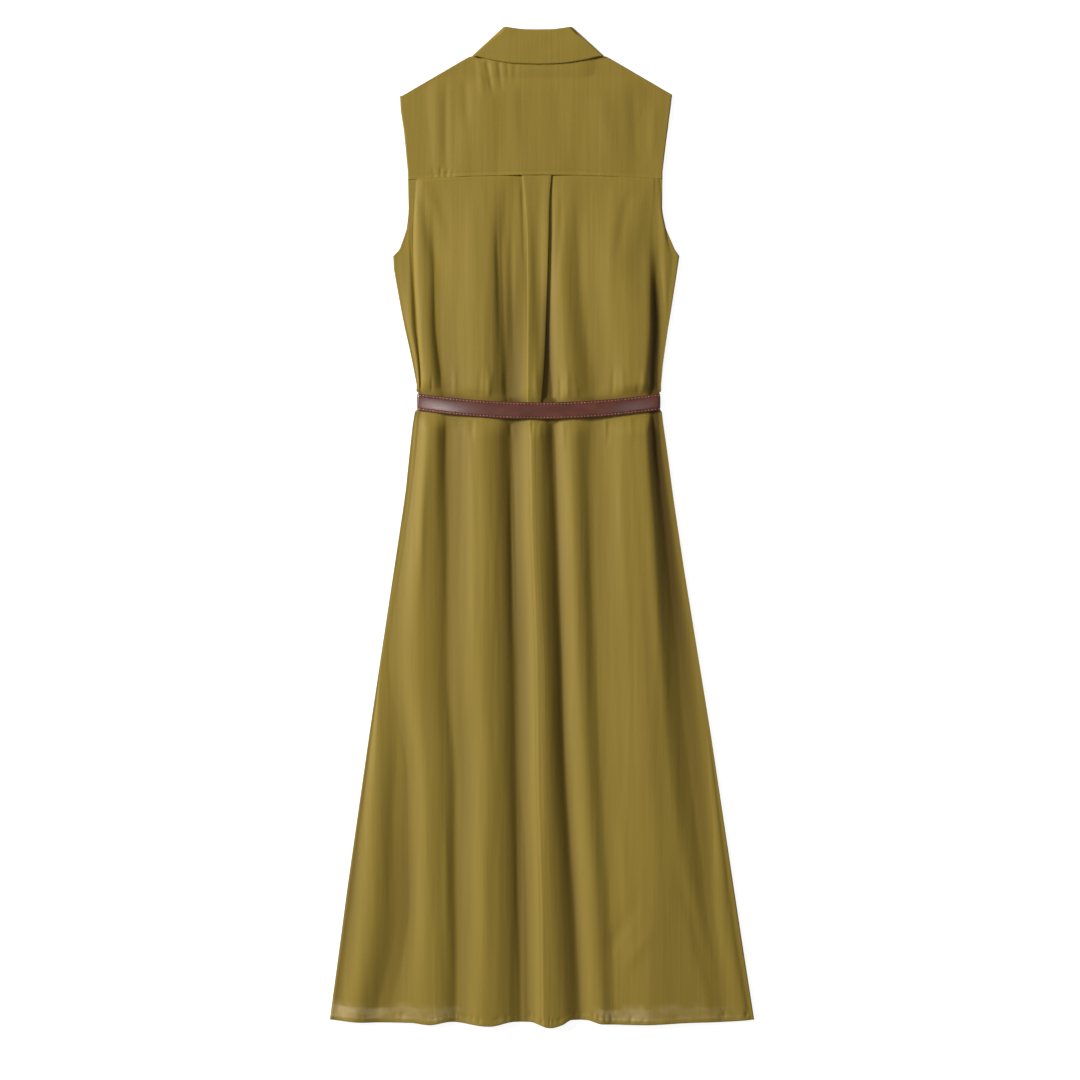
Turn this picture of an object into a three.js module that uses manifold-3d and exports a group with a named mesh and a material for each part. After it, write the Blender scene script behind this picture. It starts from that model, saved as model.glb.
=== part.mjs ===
// A sleeveless shirt dress with its own belt, laid flat with its back upwards.
// Units are millimetres and +Z is up. The dress rests on z = 0, its neck points to +Y and
// the wearer's right side is at +X. From the floor up lie the collar leaves and the belt's
// front, the two fronts, then the back with its yoke, the collar's fall and the belt's back.
import * as THREE from 'three';
import { mergeVertices } from 'three/addons/utils/BufferGeometryUtils.js';
import Module from 'manifold-3d';

// Driving sizes
const CLOTH = 1.0;
const HALF = CLOTH / 2;
const GAP = 0.3;
const LAYER = CLOTH + GAP;
const NECK_X = -5;
const FRONT_X = -4;
const SEAM_Y = 438;
const SEAM_RISE = 5;
const HEM_Y = -618;
const NECK_Y = 584.3;
const FRONT_NECK_Y = 547.6;
const NECK_HALF = 70;
const SHOULDER_Y = 538;
const SHOULDER_OUT = 170;
const SHOULDER_STEP = 92;

// Front closing: the right front lies outermost, so it is the lower one here
const BUTTON_RADIUS = 5.5;
const BUTTON_THICK = 1.8;
const BUTTON_DISH = 0.5;
const BUTTON_SIDES = 12;
const BUTTON_PROFILE = [
  { r: 0, z: BUTTON_DISH },
  { r: BUTTON_RADIUS - 1.6, z: BUTTON_DISH },
  { r: BUTTON_RADIUS - 1.0, z: 0 },
  { r: BUTTON_RADIUS - 0.3, z: 0 },
  { r: BUTTON_RADIUS, z: BUTTON_DISH },
  { r: BUTTON_RADIUS - 0.4, z: BUTTON_THICK },
  { r: 0, z: BUTTON_THICK },
];
const LAP_HALF = 16;
const LAP_RAMP = 14;
const LAP_RAISE = BUTTON_THICK + GAP;
const BUTTON_RUNS = [
  { name: 'bodice', top: 500, pitch: 96, count: 4 },
  { name: 'skirt', top: 78, pitch: 112, count: 5 },
];

// Belt
const BELT_WIDTH = 21;
const BELT_THICK = 2.0;
const BELT_Y = 144.5;
const BELT_SAG = 11;
const BELT_X = -4.1;
const BELT_HALF = 148.7;
const BELT_SIDE = 4.1;
const BELT_ARCH = 4.4;
const BUCKLE_BAR = 2.2;
const BUCKLE = { play: 1.5, side: 3, front: 4, heel: -18, nose: 22 };

// Strap in front, measured from the belt's middle: s across and z at its own middle. It
// starts at the buckle as the upper layer, and its tip comes back through the buckle.
const STRAP_LOW = BELT_THICK / 2;
const STRAP_OVER = BELT_THICK * 1.5 + GAP;
const STRAP_RAISED = STRAP_LOW + BUCKLE_BAR + GAP;
const STRAP_START = [
  { s: -18.6, z: STRAP_OVER },
  { s: -60, z: STRAP_OVER },
  { s: -96, z: STRAP_OVER },
  { s: -115, z: STRAP_LOW },
  { s: -132, z: STRAP_LOW },
];
const STRAP_END = [
  { s: 90, z: STRAP_LOW },
  { s: 44, z: STRAP_LOW },
  { s: 30, z: STRAP_RAISED },
  { s: 16, z: STRAP_RAISED },
  { s: -6, z: STRAP_LOW },
  { s: -50, z: STRAP_LOW },
  { s: -84, z: STRAP_LOW },
  { s: -91, z: STRAP_LOW },
];

// How the layers clear each other: each rises over a reach, with a soft ramp beside it
const DOUBLED_STRAP = { from: -121, to: 54, ramp: 20, extra: 0.2 };
const OVER_BELT = { reach: 36, ramp: 18 };
const OVER_LEAVES = { start: 492, ramp: 20 };
const CLEAR_SIDE = 3;
const CLEAR_ALONG = 8;
const CLEAR_NECK = 14;
const PRESSED = { reach: 12, ramp: 30 };

// How the rows of the cloth bend, and how far the belt draws the side edges in
const SEAM_BEND = { half: 156, drop: 3.5, start: 366, ramp: 60 };
const BELT_BEND = { reach: 130, ramp: 90 };
const HEM_BEND = { start: -500, ramp: 110 };
const DRAWN_IN = { inside: 0.6, reach: 30, ramp: 12 };

// Outline of the dress: its side edges, from the shoulder points to the hem corners
const EDGE = [
  { y: SHOULDER_Y, left: -177.5, right: 162.5 },
  { y: 521, left: -176.5, right: 160.5 },
  { y: 496, left: -172.5, right: 157 },
  { y: 446, left: -167.5, right: 150.5 },
  { y: 396, left: -166.5, right: 150 },
  { y: 371, left: -169, right: 155 },
  { y: 346, left: -178, right: 166 },
  { y: 338, left: -186, right: 171.5 },
  { y: 321, left: -185, right: 169 },
  { y: 246, left: -171.5, right: 157.5 },
  { y: 196, left: -161.5, right: 151 },
  { y: 171, left: -156.5, right: 148.7 },
  { y: 146, left: -157.5, right: 148.7 },
  { y: 121, left: -161.5, right: 151.5 },
  { y: 46, left: -170, right: 162.5 },
  { y: -54, left: -185, right: 177.5 },
  { y: -254, left: -215, right: 210 },
  { y: -454, left: -243.5, right: 240 },
  { y: -618, left: -265, right: 265 },
];

// Hem of the back, which dips and lifts as the folds end on it
const HEM = [
  { x: -265, y: -615.5 },
  { x: -215, y: -619 },
  { x: -165, y: -619 },
  { x: -140, y: -621.5 },
  { x: -115, y: -618 },
  { x: -65, y: -623 },
  { x: -35, y: -618 },
  { x: -15, y: -618 },
  { x: 10, y: -624.9 },
  { x: 25, y: -621.5 },
  { x: 37, y: -615.5 },
  { x: 55, y: -615.5 },
  { x: 75, y: -620.5 },
  { x: 125, y: -621.5 },
  { x: 185, y: -619 },
  { x: 230, y: -618 },
  { x: 265, y: -615.5 },
];

// Fold lines of the back from the left edge to the right: x and height z of the cloth's
// middle at each station down the length
const STATIONS = [438, 358, 258, 171, 121, -17, -167, -317, -467, -618];
const LEFT_FOLDS = [
  { name: 'side roll', steps: 3,
    x: [-161, -165.5, -163.5, -154.4, -157.5, -174, -200, -211, -212, -232],
    z: [3.0, 3.0, 4.4, 4.5, 4.5, 3.6, 3.6, 7.6, 9.0, 8.2] },
  { name: 'side gap', steps: 3,
    x: [-156, -161, -157.5, -152.6, -153.8, -170, -190, -180, -177, -196],
    z: [2.8, 2.3, 2.3, 4.2, 4.6, 4.2, 4.0, 3.2, 2.6, 2.6] },
  { name: 'left roll', steps: 4,
    x: [-147.5, -152, -147.5, -142, -139, -148, -152, -144, -140, -138],
    z: [5.0, 8.2, 9.8, 10.4, 10.8, 10.6, 10.4, 10.2, 10.0, 9.2] },
  { name: 'left valley', steps: 4,
    x: [-134, -132, -130, -121, -119, -119, -119, -109, -106, -105],
    z: [4.9, 5.4, 5.0, 4.0, 3.6, 3.6, 3.6, 3.6, 3.2, 3.0] },
  { name: 'inner left roll', steps: 4,
    x: [-72, -69, -72, -74, -75, -72, -74, -67, -69, -72],
    z: [5.6, 9.4, 11.6, 12.4, 12.6, 12.6, 12.6, 12.6, 12.4, 11.6] },
  { name: 'pleat valley', steps: 4,
    x: [-46, -49, -45, -40, -38, -36, -31, -30, -28, -26],
    z: [5.2, 5.0, 4.0, 3.2, 3.2, 3.2, 3.4, 3.6, 3.8, 3.8] },
];
const RIGHT_FOLDS = [
  { name: 'inner right roll', steps: 4,
    x: [41, 30, 30, 32, 34, 45, 47, 54, 65, 72],
    z: [5.8, 8.4, 10.0, 10.6, 10.8, 11.0, 11.0, 10.8, 10.4, 9.8] },
  { name: 'right valley', steps: 4,
    x: [66, 52, 52, 65, 64, 65, 67, 76, 84, 92],
    z: [5.4, 6.0, 5.6, 5.2, 5.6, 6.0, 6.8, 7.2, 7.4, 7.4] },
  { name: 'right roll', steps: 4,
    x: [100, 94, 107, 112, 107, 116, 122, 125, 129, 128],
    z: [5.4, 9.0, 10.6, 11.2, 11.4, 11.4, 11.2, 11.0, 10.6, 9.8] },
  { name: 'right fold edge', steps: 3,
    x: [139, 129, 127.5, 126, 126, 140, 151, 165, 180, 205],
    z: [4.8, 6.6, 9.8, 10.4, 10.8, 10.8, 10.4, 9.6, 7.8, 5.8] },
  { name: 'right gap', steps: 4,
    x: [144, 142, 138.5, 136, 138, 154, 175, 192, 206, 236],
    z: [3.4, 3.8, 2.4, 3.2, 3.0, 2.6, 2.4, 2.6, 3.0, 4.2] },
  { name: 'side fold', steps: 3,
    x: [147.2, 152, 150, 142.5, 145, 164, 188, 209, 225, 254],
    z: [2.8, 4.4, 3.6, 3.6, 3.2, 2.6, 2.6, 3.8, 4.8, 4.4] },
];

// Box pleat under the yoke: where its two edges run, and how far each edge turns under.
// A turn of 180 degrees is a pressed fold of three layers, and it opens towards the hem.
const EDGE_STEP = 1.7;
const TURN_RADIUS = 0.75;
const PLEAT_FOOT = 5.3;
const PLEAT_DIP = 1.2;
const PLEAT_DIP_RAMP = 40;
const TURN_STEPS = 3;
const FOOT_STEPS = 5;
const PLEAT = [
  { v: 438, left: -24.4, turnL: 180, runL: 12, right: 11.3, turnR: 180, runR: 12 },
  { v: 408, left: -21, turnL: 166, runL: 10, right: 8.75, turnR: 166, runR: 10 },
  { v: 358, left: -18.4, turnL: 148, runL: 7, right: 7, turnR: 150, runR: 7 },
  { v: 258, left: -17.4, turnL: 90, runL: 4.5, right: 4.8, turnR: 115, runR: 4 },
  { v: 200, left: -17, turnL: 62, runL: 6.5, right: 2, turnR: 92, runR: 4.5 },
  { v: 171, left: -16.6, turnL: 48, runL: 8.5, right: -0.5, turnR: 68, runR: 6 },
  { v: 121, left: -15, turnL: 34, runL: 13, right: -6, turnR: 32, runR: 14 },
  { v: -17, left: -12.5, turnL: 30, runL: 15.5, right: -5, turnR: 28, runR: 16.5 },
  { v: -167, left: -7.5, turnL: 29, runL: 16.5, right: -0.5, turnR: 28, runR: 17 },
  { v: -317, left: -5, turnL: 28, runL: 17, right: 3, turnR: 27, runR: 18 },
  { v: -467, left: 0, turnL: 27, runL: 17, right: 8.5, turnR: 26, runR: 18.5 },
  { v: -618, left: 1.5, turnL: 26, runL: 16, right: 11, turnR: 24, runR: 19 },
];

// Rows of the panels down the length
const BELT_ROW = 150;
const BACK_ROWS = [438, 430, 414, 392, 366, 341, 336, 300, 262, 226, 200, 186, 175, 165,
  150, 135, 125, 114, 98, 66, 20, -40, -110, -190, -270, -350, -430, -500, -560, -600, -618];
const FRONT_ROWS = [-618, -420, -220, -20, 90, 113, 123, 132, 168, 177, 187, 208, 300,
  336, 341, 380, 440, 490, 502];
const FRONT_TOP_STEPS = [0.2, 0.6, 1];
const TOP_START = 502;
const FRONT_INSET = 0.4;
const FRONT_HEM = HEM_Y + 4;
const FRONT_TOP_GAP = 0.6;
const FRONT_SPREAD = [1, 0.66, 0.33];

// Yoke: how high it lies over the back's folds, over the pleat and by the neck
const YOKE_CROWN = { height: 3.6, ramp: 40, start: 0.35, fade: 0.5 };
const YOKE_PLEAT = { height: 2.8, middle: -6.5, half: 36, ramp: 20, fade: 0.45 };
const YOKE_NECK = { start: 500, ramp: 40 };
const YOKE_SEAM_GAP = 0.6;

const CLOTH_LIT = 0x97833f;
const CLOTH_SHADE = 0x8b773a;
const LEATHER = 0x6a3a2a;
const BRASS = 0x9a8350;
const HORN = 0x6b5a34;

function smooth(t) {
  const c = Math.min(1, Math.max(0, t));
  return c * c * (3 - 2 * c);
}

function mix(a, b, t) {
  return a + (b - a) * t;
}

// Smooth curve through the values at the given places, level where the values turn back
function curve(places, values, at) {
  const last = places.length - 1;
  const down = places[last] < places[0];
  const beyondStart = down ? at >= places[0] : at <= places[0];
  const beyondEnd = down ? at <= places[last] : at >= places[last];
  if (beyondStart) return values[0];
  if (beyondEnd) return values[last];
  let i = 0;
  while (down ? at < places[i + 1] : at > places[i + 1]) i += 1;
  const slope = (k) => (values[k + 1] - values[k]) / (places[k + 1] - places[k]);
  const tangent = (k) => {
    if (k === 0) return slope(0);
    if (k === last) return slope(last - 1);
    const before = slope(k - 1);
    const after = slope(k);
    if (before * after <= 0) return 0;
    return (2 * before * after) / (before + after);
  };
  const width = places[i + 1] - places[i];
  const t = (at - places[i]) / width;
  const rise = t * t * (3 - 2 * t);
  const bendIn = t * (1 - t) * (1 - t) * width * tangent(i);
  const bendOut = -t * t * (1 - t) * width * tangent(i + 1);
  return mix(values[i], values[i + 1], rise) + bendIn + bendOut;
}

function column(table, place, name, at) {
  return curve(table.map((row) => row[place]), table.map((row) => row[name]), at);
}

// Straight lines between the rows of a table, for edges with corners
function polyline(table, place, name, at) {
  const rows = table[0][place] < table[1][place] ? table : [...table].reverse();
  if (at <= rows[0][place]) return rows[0][name];
  for (let i = 1; i < rows.length; i += 1) {
    if (at <= rows[i][place]) {
      const t = (at - rows[i - 1][place]) / (rows[i][place] - rows[i - 1][place]);
      return mix(rows[i - 1][name], rows[i][name], t);
    }
  }
  return rows[rows.length - 1][name];
}

// Closed wall of cloth round a grid of middle points, each row a list of Vector3
function wall(rows, thickness = CLOTH) {
  const nr = rows.length;
  const nc = rows[0].length;
  const at = (r, c) => rows[Math.min(nr - 1, Math.max(0, r))][Math.min(nc - 1, Math.max(0, c))];
  const faces = [[], []];
  for (let r = 0; r < nr; r += 1) {
    for (let c = 0; c < nc; c += 1) {
      const across = at(r, c + 1).clone().sub(at(r, c - 1));
      const along = at(r + 1, c).clone().sub(at(r - 1, c));
      const normal = across.cross(along).normalize().multiplyScalar(thickness / 2);
      faces[0].push(at(r, c).clone().add(normal));
      faces[1].push(at(r, c).clone().sub(normal));
    }
  }
  const points = [...faces[0], ...faces[1]];
  const lower = nr * nc;
  const id = (r, c) => r * nc + c;
  const index = [];
  const quad = (a, b, c, d) => index.push(a, b, c, a, c, d);
  for (let r = 0; r < nr - 1; r += 1) {
    for (let c = 0; c < nc - 1; c += 1) {
      quad(id(r, c), id(r, c + 1), id(r + 1, c + 1), id(r + 1, c));
      quad(lower + id(r, c), lower + id(r + 1, c), lower + id(r + 1, c + 1), lower + id(r, c + 1));
    }
  }
  const rim = [];
  for (let c = 0; c < nc; c += 1) rim.push(id(0, c));
  for (let r = 1; r < nr; r += 1) rim.push(id(r, nc - 1));
  for (let c = nc - 2; c >= 0; c -= 1) rim.push(id(nr - 1, c));
  for (let r = nr - 2; r > 0; r -= 1) rim.push(id(r, 0));
  rim.forEach((a, i) => {
    const b = rim[(i + 1) % rim.length];
    quad(a, lower + a, lower + b, b);
  });
  return solid(points, index);
}

// Closed geometry with its faces turned outwards
function solid(points, index) {
  let volume = 0;
  for (let i = 0; i < index.length; i += 3) {
    const [a, b, c] = [points[index[i]], points[index[i + 1]], points[index[i + 2]]];
    volume += a.dot(b.clone().cross(c)) / 6;
  }
  const turned = volume < 0 ? [...index].reverse() : index;
  const geometry = new THREE.BufferGeometry().setFromPoints(points);
  geometry.setIndex(turned);
  geometry.computeVertexNormals();
  return geometry;
}

// Belt line, which hangs a little lower at the middle of the back
function beltY(x) {
  const out = (x - BELT_X) / BELT_HALF;
  return BELT_Y + BELT_SAG * out * out;
}

// Height of the back's cloth where the belt presses it
function beltPress(x) {
  const out = Math.min(1, Math.abs(x - BELT_X) / BELT_HALF);
  return BELT_SIDE + BELT_ARCH * (1 - out ** 3);
}

// How far the belt and its buckle lift the fronts off the floor
function beltRaise(x, y) {
  const s = x - FRONT_X;
  const { from, to, ramp, extra } = DOUBLED_STRAP;
  const doubled = smooth((s - from) / ramp) * smooth((to - s) / ramp);
  const height = BELT_THICK + GAP + (BELT_THICK + GAP + extra) * doubled;
  return height * smooth((OVER_BELT.reach - Math.abs(y - beltY(x))) / OVER_BELT.ramp);
}

// Middle height of a front: side is -1 for the left one and 1 for the right one
function frontHeight(side, x, y) {
  const s = (x - FRONT_X) * side;
  const lap = smooth((LAP_HALF + LAP_RAMP - s) / LAP_RAMP);
  const overLeaves = LAYER * smooth((y - OVER_LEAVES.start) / OVER_LEAVES.ramp);
  const raise = Math.max(LAP_RAISE * lap, beltRaise(x, y), overLeaves);
  return HALF + raise + (side < 0 ? LAYER * lap : 0);
}

// Lowest middle height that clears both fronts
function aboveFronts(x, y) {
  if (y > FRONT_NECK_Y + CLEAR_NECK) return 2 * LAYER + HALF;
  const side = x - FRONT_X < LAP_HALF + CLEAR_SIDE ? -1 : 1;
  const heights = [-CLEAR_ALONG, 0, CLEAR_ALONG].map((dy) => frontHeight(side, x, y + dy));
  return Math.max(...heights) + LAYER;
}

// Side edge at a height, drawn in where the belt goes round it
function edge(name, y) {
  const side = name === 'left' ? -1 : 1;
  const outline = polyline(EDGE, 'y', name, y);
  const inside = BELT_X + side * (BELT_HALF - DRAWN_IN.inside);
  const near = smooth((DRAWN_IN.reach - Math.abs(y - BELT_ROW)) / DRAWN_IN.ramp);
  const held = side < 0 ? Math.max(outline, inside) : Math.min(outline, inside);
  return mix(outline, held, near);
}

// A row of the cloth bends with the yoke seam, the belt line and the hem
function rowY(v, x, hem) {
  const seam = SEAM_RISE * (1 - (x / SEAM_BEND.half) ** 2) - SEAM_BEND.drop;
  const nearSeam = smooth((v - SEAM_BEND.start) / SEAM_BEND.ramp);
  const nearBelt = smooth((BELT_BEND.reach - Math.abs(v - BELT_ROW)) / BELT_BEND.ramp);
  const nearHem = smooth((HEM_BEND.start - v) / HEM_BEND.ramp);
  return v + seam * nearSeam + (beltY(x) - BELT_ROW) * nearBelt + (hem(x) - HEM_Y) * nearHem;
}

// One turned edge of the box pleat: turn up, run, and turn back, from foot to crest
function turnedEdge(degrees, run) {
  const angle = THREE.MathUtils.degToRad(degrees);
  const path = [];
  for (let i = 0; i <= TURN_STEPS; i += 1) {
    const a = (angle * i) / TURN_STEPS;
    path.push([TURN_RADIUS * Math.sin(a), TURN_RADIUS * (1 - Math.cos(a))]);
  }
  const [startX, startZ] = path[TURN_STEPS];
  for (let i = 0; i <= TURN_STEPS; i += 1) {
    const a = (angle * (TURN_STEPS - i)) / TURN_STEPS;
    const x = startX + run * Math.cos(angle) + TURN_RADIUS * (Math.sin(angle) - Math.sin(a));
    const z = startZ + run * Math.sin(angle) + TURN_RADIUS * (Math.cos(a) - Math.cos(angle));
    path.push([x, z]);
  }
  return path;
}

// Fold lines at a row, each kept its own small step inside the side edge
function foldsAt(folds, v, sideX) {
  const side = Math.sign(sideX);
  return folds.map(({ x, z, steps }, i) => {
    const place = side < 0 ? i + 1 : folds.length - i;
    const limit = Math.abs(sideX) - EDGE_STEP * place;
    const out = Math.min(limit, side * curve(STATIONS, x, v));
    return { x: side * out, z: curve(STATIONS, z, v), steps };
  });
}

// Points between crests and valleys, on half waves
function waves(knots) {
  const path = [];
  for (let i = 1; i < knots.length; i += 1) {
    const { steps } = knots[i];
    for (let k = i === 1 ? 0 : 1; k <= steps; k += 1) {
      const t = k / steps;
      const level = (1 - Math.cos(Math.PI * t)) / 2;
      path.push([mix(knots[i - 1].x, knots[i].x, t), mix(knots[i - 1].z, knots[i].z, level)]);
    }
  }
  return path;
}

// The back across its width at one row: folds, turned pleat edge, box, pleat edge, folds
function backSection(v) {
  const pleat = (name) => column(PLEAT, 'v', name, v);
  const leftTurn = turnedEdge(pleat('turnL'), pleat('runL'));
  const rightTurn = turnedEdge(pleat('turnR'), pleat('runR'));
  const [leftReach, leftRise] = leftTurn[leftTurn.length - 1];
  const [rightReach, rightRise] = rightTurn[rightTurn.length - 1];
  const boxLeft = pleat('left');
  const boxRight = pleat('right');
  const footLeft = { x: boxLeft - leftReach, z: PLEAT_FOOT, steps: FOOT_STEPS };
  const footRight = { x: boxRight + rightReach, z: PLEAT_FOOT };
  const sideLeft = { x: edge('left', v), z: LAYER + HALF };
  const sideRight = { x: edge('right', v), z: LAYER + HALF, steps: 3 };
  const dip = PLEAT_DIP * smooth((SEAM_Y - v) / PLEAT_DIP_RAMP);
  const middle = (leftRise + rightRise) / 2 - dip;
  const box = waves([
    { x: boxLeft, z: PLEAT_FOOT + leftRise },
    { x: (boxLeft + boxRight) / 2, z: PLEAT_FOOT + middle, steps: 3 },
    { x: boxRight, z: PLEAT_FOOT + rightRise, steps: 3 },
  ]);
  const left = waves([sideLeft, ...foldsAt(LEFT_FOLDS, v, sideLeft.x), footLeft]);
  const right = waves([footRight, ...foldsAt(RIGHT_FOLDS, v, sideRight.x), sideRight]);
  const up = leftTurn.slice(1, -1).map(([x, z]) => [footLeft.x + x, PLEAT_FOOT + z]);
  const down = rightTurn.slice(1, -1).map(([x, z]) => [footRight.x - x, PLEAT_FOOT + z]);
  return [...left, ...up, ...box, ...down.reverse(), ...right];
}

function hemY(x) {
  return column(HEM, 'x', 'y', x);
}

// The belt flattens the folds under it, and they swell again on each side
function pressed(x, y, z) {
  const free = smooth((Math.abs(y - beltY(x)) - PRESSED.reach) / PRESSED.ramp);
  return Math.max(mix(beltPress(x), z, free), aboveFronts(x, y));
}

function backGeometry() {
  const rows = BACK_ROWS.map((v) => backSection(v).map(([x, z]) => {
    const y = rowY(v, x, hemY);
    return new THREE.Vector3(x, y, pressed(x, y, z));
  }));
  return wall(rows);
}

// Neckline and shoulder edge above the yoke, by distance from the neck's middle
const BACK_TOP = [
  { d: 0, y: NECK_Y - 0.6 },
  { d: 35, y: NECK_Y - 0.1 },
  { d: 60, y: NECK_Y + 0.2 },
  { d: 77, y: NECK_Y + 0.6 },
  { d: SHOULDER_STEP, y: NECK_Y - 2 },
  { d: SHOULDER_OUT, y: SHOULDER_Y },
];

function frontNeck(d) {
  const t = Math.min(1, Math.abs(d) / NECK_HALF);
  return mix(FRONT_NECK_Y, NECK_Y + 2, 1 - Math.sqrt(1 - t * t));
}

function shoulderTop(d) {
  return polyline(BACK_TOP, 'd', 'y', Math.abs(d));
}

function frontTop(d) {
  return Math.abs(d) >= NECK_HALF ? shoulderTop(d) : frontNeck(d) - FRONT_TOP_GAP;
}

const FRONT_COLUMNS = [SHOULDER_STEP, 77, NECK_HALF, 60, 45, 31, 26, 20, 15, 0, -15];

function frontGeometry(side) {
  const name = side < 0 ? 'left' : 'right';
  const hem = () => FRONT_HEM;
  const places = (v) => {
    const outer = Math.abs(edge(name, v) - NECK_X) - FRONT_INSET;
    const spread = FRONT_SPREAD.map((t) => mix(SHOULDER_STEP, outer, t));
    return [...spread, ...FRONT_COLUMNS];
  };
  const rows = FRONT_ROWS.map((v) => places(v).map((d) => {
    const x = NECK_X + side * d;
    const y = rowY(v, x, hem);
    return new THREE.Vector3(x, y, frontHeight(side, x, y));
  }));
  const start = rows[rows.length - 1];
  FRONT_TOP_STEPS.forEach((t) => {
    const v = mix(TOP_START, SHOULDER_Y, t);
    rows.push(places(v).map((d, i) => {
      const x = NECK_X + side * d;
      const y = mix(start[i].y, frontTop(d), t);
      return new THREE.Vector3(x, y, frontHeight(side, x, y));
    }));
  });
  return wall(rows);
}

// Height of the yoke: level with the back's folds at the seam, low at the armholes and neck
function yokeHeight(x, y, t) {
  const fromEdge = Math.min(x - edge('left', y), edge('right', y) - x);
  const lowered = 1 - smooth((t - YOKE_CROWN.start) / YOKE_CROWN.fade);
  const crown = YOKE_CROWN.height * smooth(fromEdge / YOKE_CROWN.ramp) * lowered;
  const besidePleat = YOKE_PLEAT.half - Math.abs(x - YOKE_PLEAT.middle);
  const nearSeam = 1 - smooth(t / YOKE_PLEAT.fade);
  const overPleat = YOKE_PLEAT.height * smooth(besidePleat / YOKE_PLEAT.ramp) * nearSeam;
  const nearNeck = LAYER * smooth((y - YOKE_NECK.start) / YOKE_NECK.ramp);
  return Math.max(LAYER + HALF + Math.max(crown + overPleat, nearNeck), aboveFronts(x, y));
}

const YOKE_COLUMNS = [-1, -0.9, -0.76, -0.64, -0.53, -0.41, -0.27, -0.18, -0.1, 0,
  0.1, 0.18, 0.27, 0.41, 0.53, 0.64, 0.76, 0.9, 1];
const YOKE_ROWS = [0, 0.08, 0.2, 0.36, 0.54, 0.7, 0.82, 0.92, 1];

function yokeGeometry() {
  const rows = YOKE_ROWS.map((t) => YOKE_COLUMNS.map((u) => {
    const v = mix(SEAM_Y, SHOULDER_Y, t);
    const outer = edge(u < 0 ? 'left' : 'right', v) - NECK_X;
    const x = NECK_X + Math.abs(u * outer) * Math.sign(u);
    const seam = rowY(SEAM_Y, x, hemY) + YOKE_SEAM_GAP;
    const y = mix(seam, shoulderTop(x - NECK_X), t);
    return new THREE.Vector3(x, y, yokeHeight(x, y, t));
  }));
  return wall(rows);
}

// A flattened ring round the neck: back part above, turned round at the two side creases,
// front parts below. Each row runs from the ring's upper edge to its lower edge.
function neckRing({ back, front, backZ, frontZ, bend, across }) {
  const radius = (backZ - frontZ) / 2;
  const crease = back[back.length - 1];
  const run = new THREE.Vector2(crease.lowD - crease.topD, crease.lowY - crease.topY).normalize();
  const inward = radius + HALF;
  const half = [];
  back.slice(0, -1).forEach((row) => half.push({ ...row, out: 0, z: backZ }));
  for (let i = 0; i <= bend; i += 1) {
    const a = (Math.PI * i) / bend;
    const level = (1 + Math.cos(a)) / 2;
    half.push({ ...crease, out: radius * Math.sin(a) - inward, z: mix(frontZ, backZ, level) });
  }
  front.forEach((row) => half.push({ ...row, out: 0, z: frontZ }));
  const point = (side, row, u) => {
    const d = mix(row.topD, row.lowD, u) - run.y * row.out;
    const y = mix(row.topY, row.lowY, u) + run.x * row.out;
    return new THREE.Vector3(NECK_X + side * d, y, row.z);
  };
  const line = (side, row) => {
    const points = [];
    for (let i = 0; i <= across; i += 1) points.push(point(side, row, i / across));
    return points;
  };
  const leftRows = half.map((row) => line(-1, row)).reverse();
  const rightRows = half.slice(1).map((row) => line(1, row));
  return wall([...leftRows, ...rightRows]);
}

function collarGeometry() {
  return neckRing({
    back: [
      { topD: 0, topY: 621, lowD: 0, lowY: 577.3 },
      { topD: 16, topY: 621.2, lowD: 27, lowY: 578.2 },
      { topD: 32, topY: 623, lowD: 54, lowY: 581.8 },
      { topD: 42.5, topY: 624.7, lowD: 82, lowY: 588.5 },
    ],
    front: [
      { topD: 34, topY: 614, lowD: 74, lowY: 570 },
      { topD: 22, topY: 598, lowD: 64, lowY: 546 },
      { topD: 2.5, topY: 575, lowD: 53, lowY: 522 },
    ],
    backZ: 3 * LAYER + HALF,
    frontZ: HALF,
    bend: 4,
    across: 3,
  });
}

function standGeometry() {
  const front = [60, 45, 31, 15, 2.5].map((d) => {
    const t = d / NECK_HALF;
    return { topD: mix(2.5, 38, t), topY: mix(573, 617, t), lowD: d, lowY: frontNeck(d) };
  });
  return neckRing({
    back: [
      { topD: 0, topY: 616, lowD: 0, lowY: NECK_Y },
      { topD: 20, topY: 616.4, lowD: 35, lowY: NECK_Y + 0.5 },
      { topD: 38, topY: 618, lowD: NECK_HALF, lowY: NECK_Y + 2 },
    ],
    front,
    backZ: 2 * LAYER + HALF,
    frontZ: LAYER + HALF,
    bend: 4,
    across: 2,
  });
}

// The belt strap from its buckle end round the back to its tip, as places along its middle
function strapPath() {
  const sideX = BELT_HALF - 0.2;
  const backZ = BELT_SIDE + HALF + GAP + STRAP_LOW;
  const radius = (backZ - STRAP_LOW) / 2;
  const bend = 6;
  const across = 18;
  const leftTurn = [];
  const rightTurn = [];
  for (let i = 0; i <= bend; i += 1) {
    const a = (Math.PI * i) / bend;
    const out = sideX + radius * Math.sin(a);
    const rise = radius * (1 - Math.cos(a));
    leftTurn.push({ s: -out, z: STRAP_LOW + rise });
    rightTurn.push({ s: out, z: backZ - rise });
  }
  const over = [];
  for (let i = 1; i < across; i += 1) {
    const s = mix(-sideX, sideX, i / across);
    over.push({ s, z: beltPress(BELT_X + s) + HALF + GAP + STRAP_LOW });
  }
  const path = [...STRAP_START, ...leftTurn, ...over, ...rightTurn, ...STRAP_END];
  return path.map(({ s, z }) => ({ x: BELT_X + s, z }));
}

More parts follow.
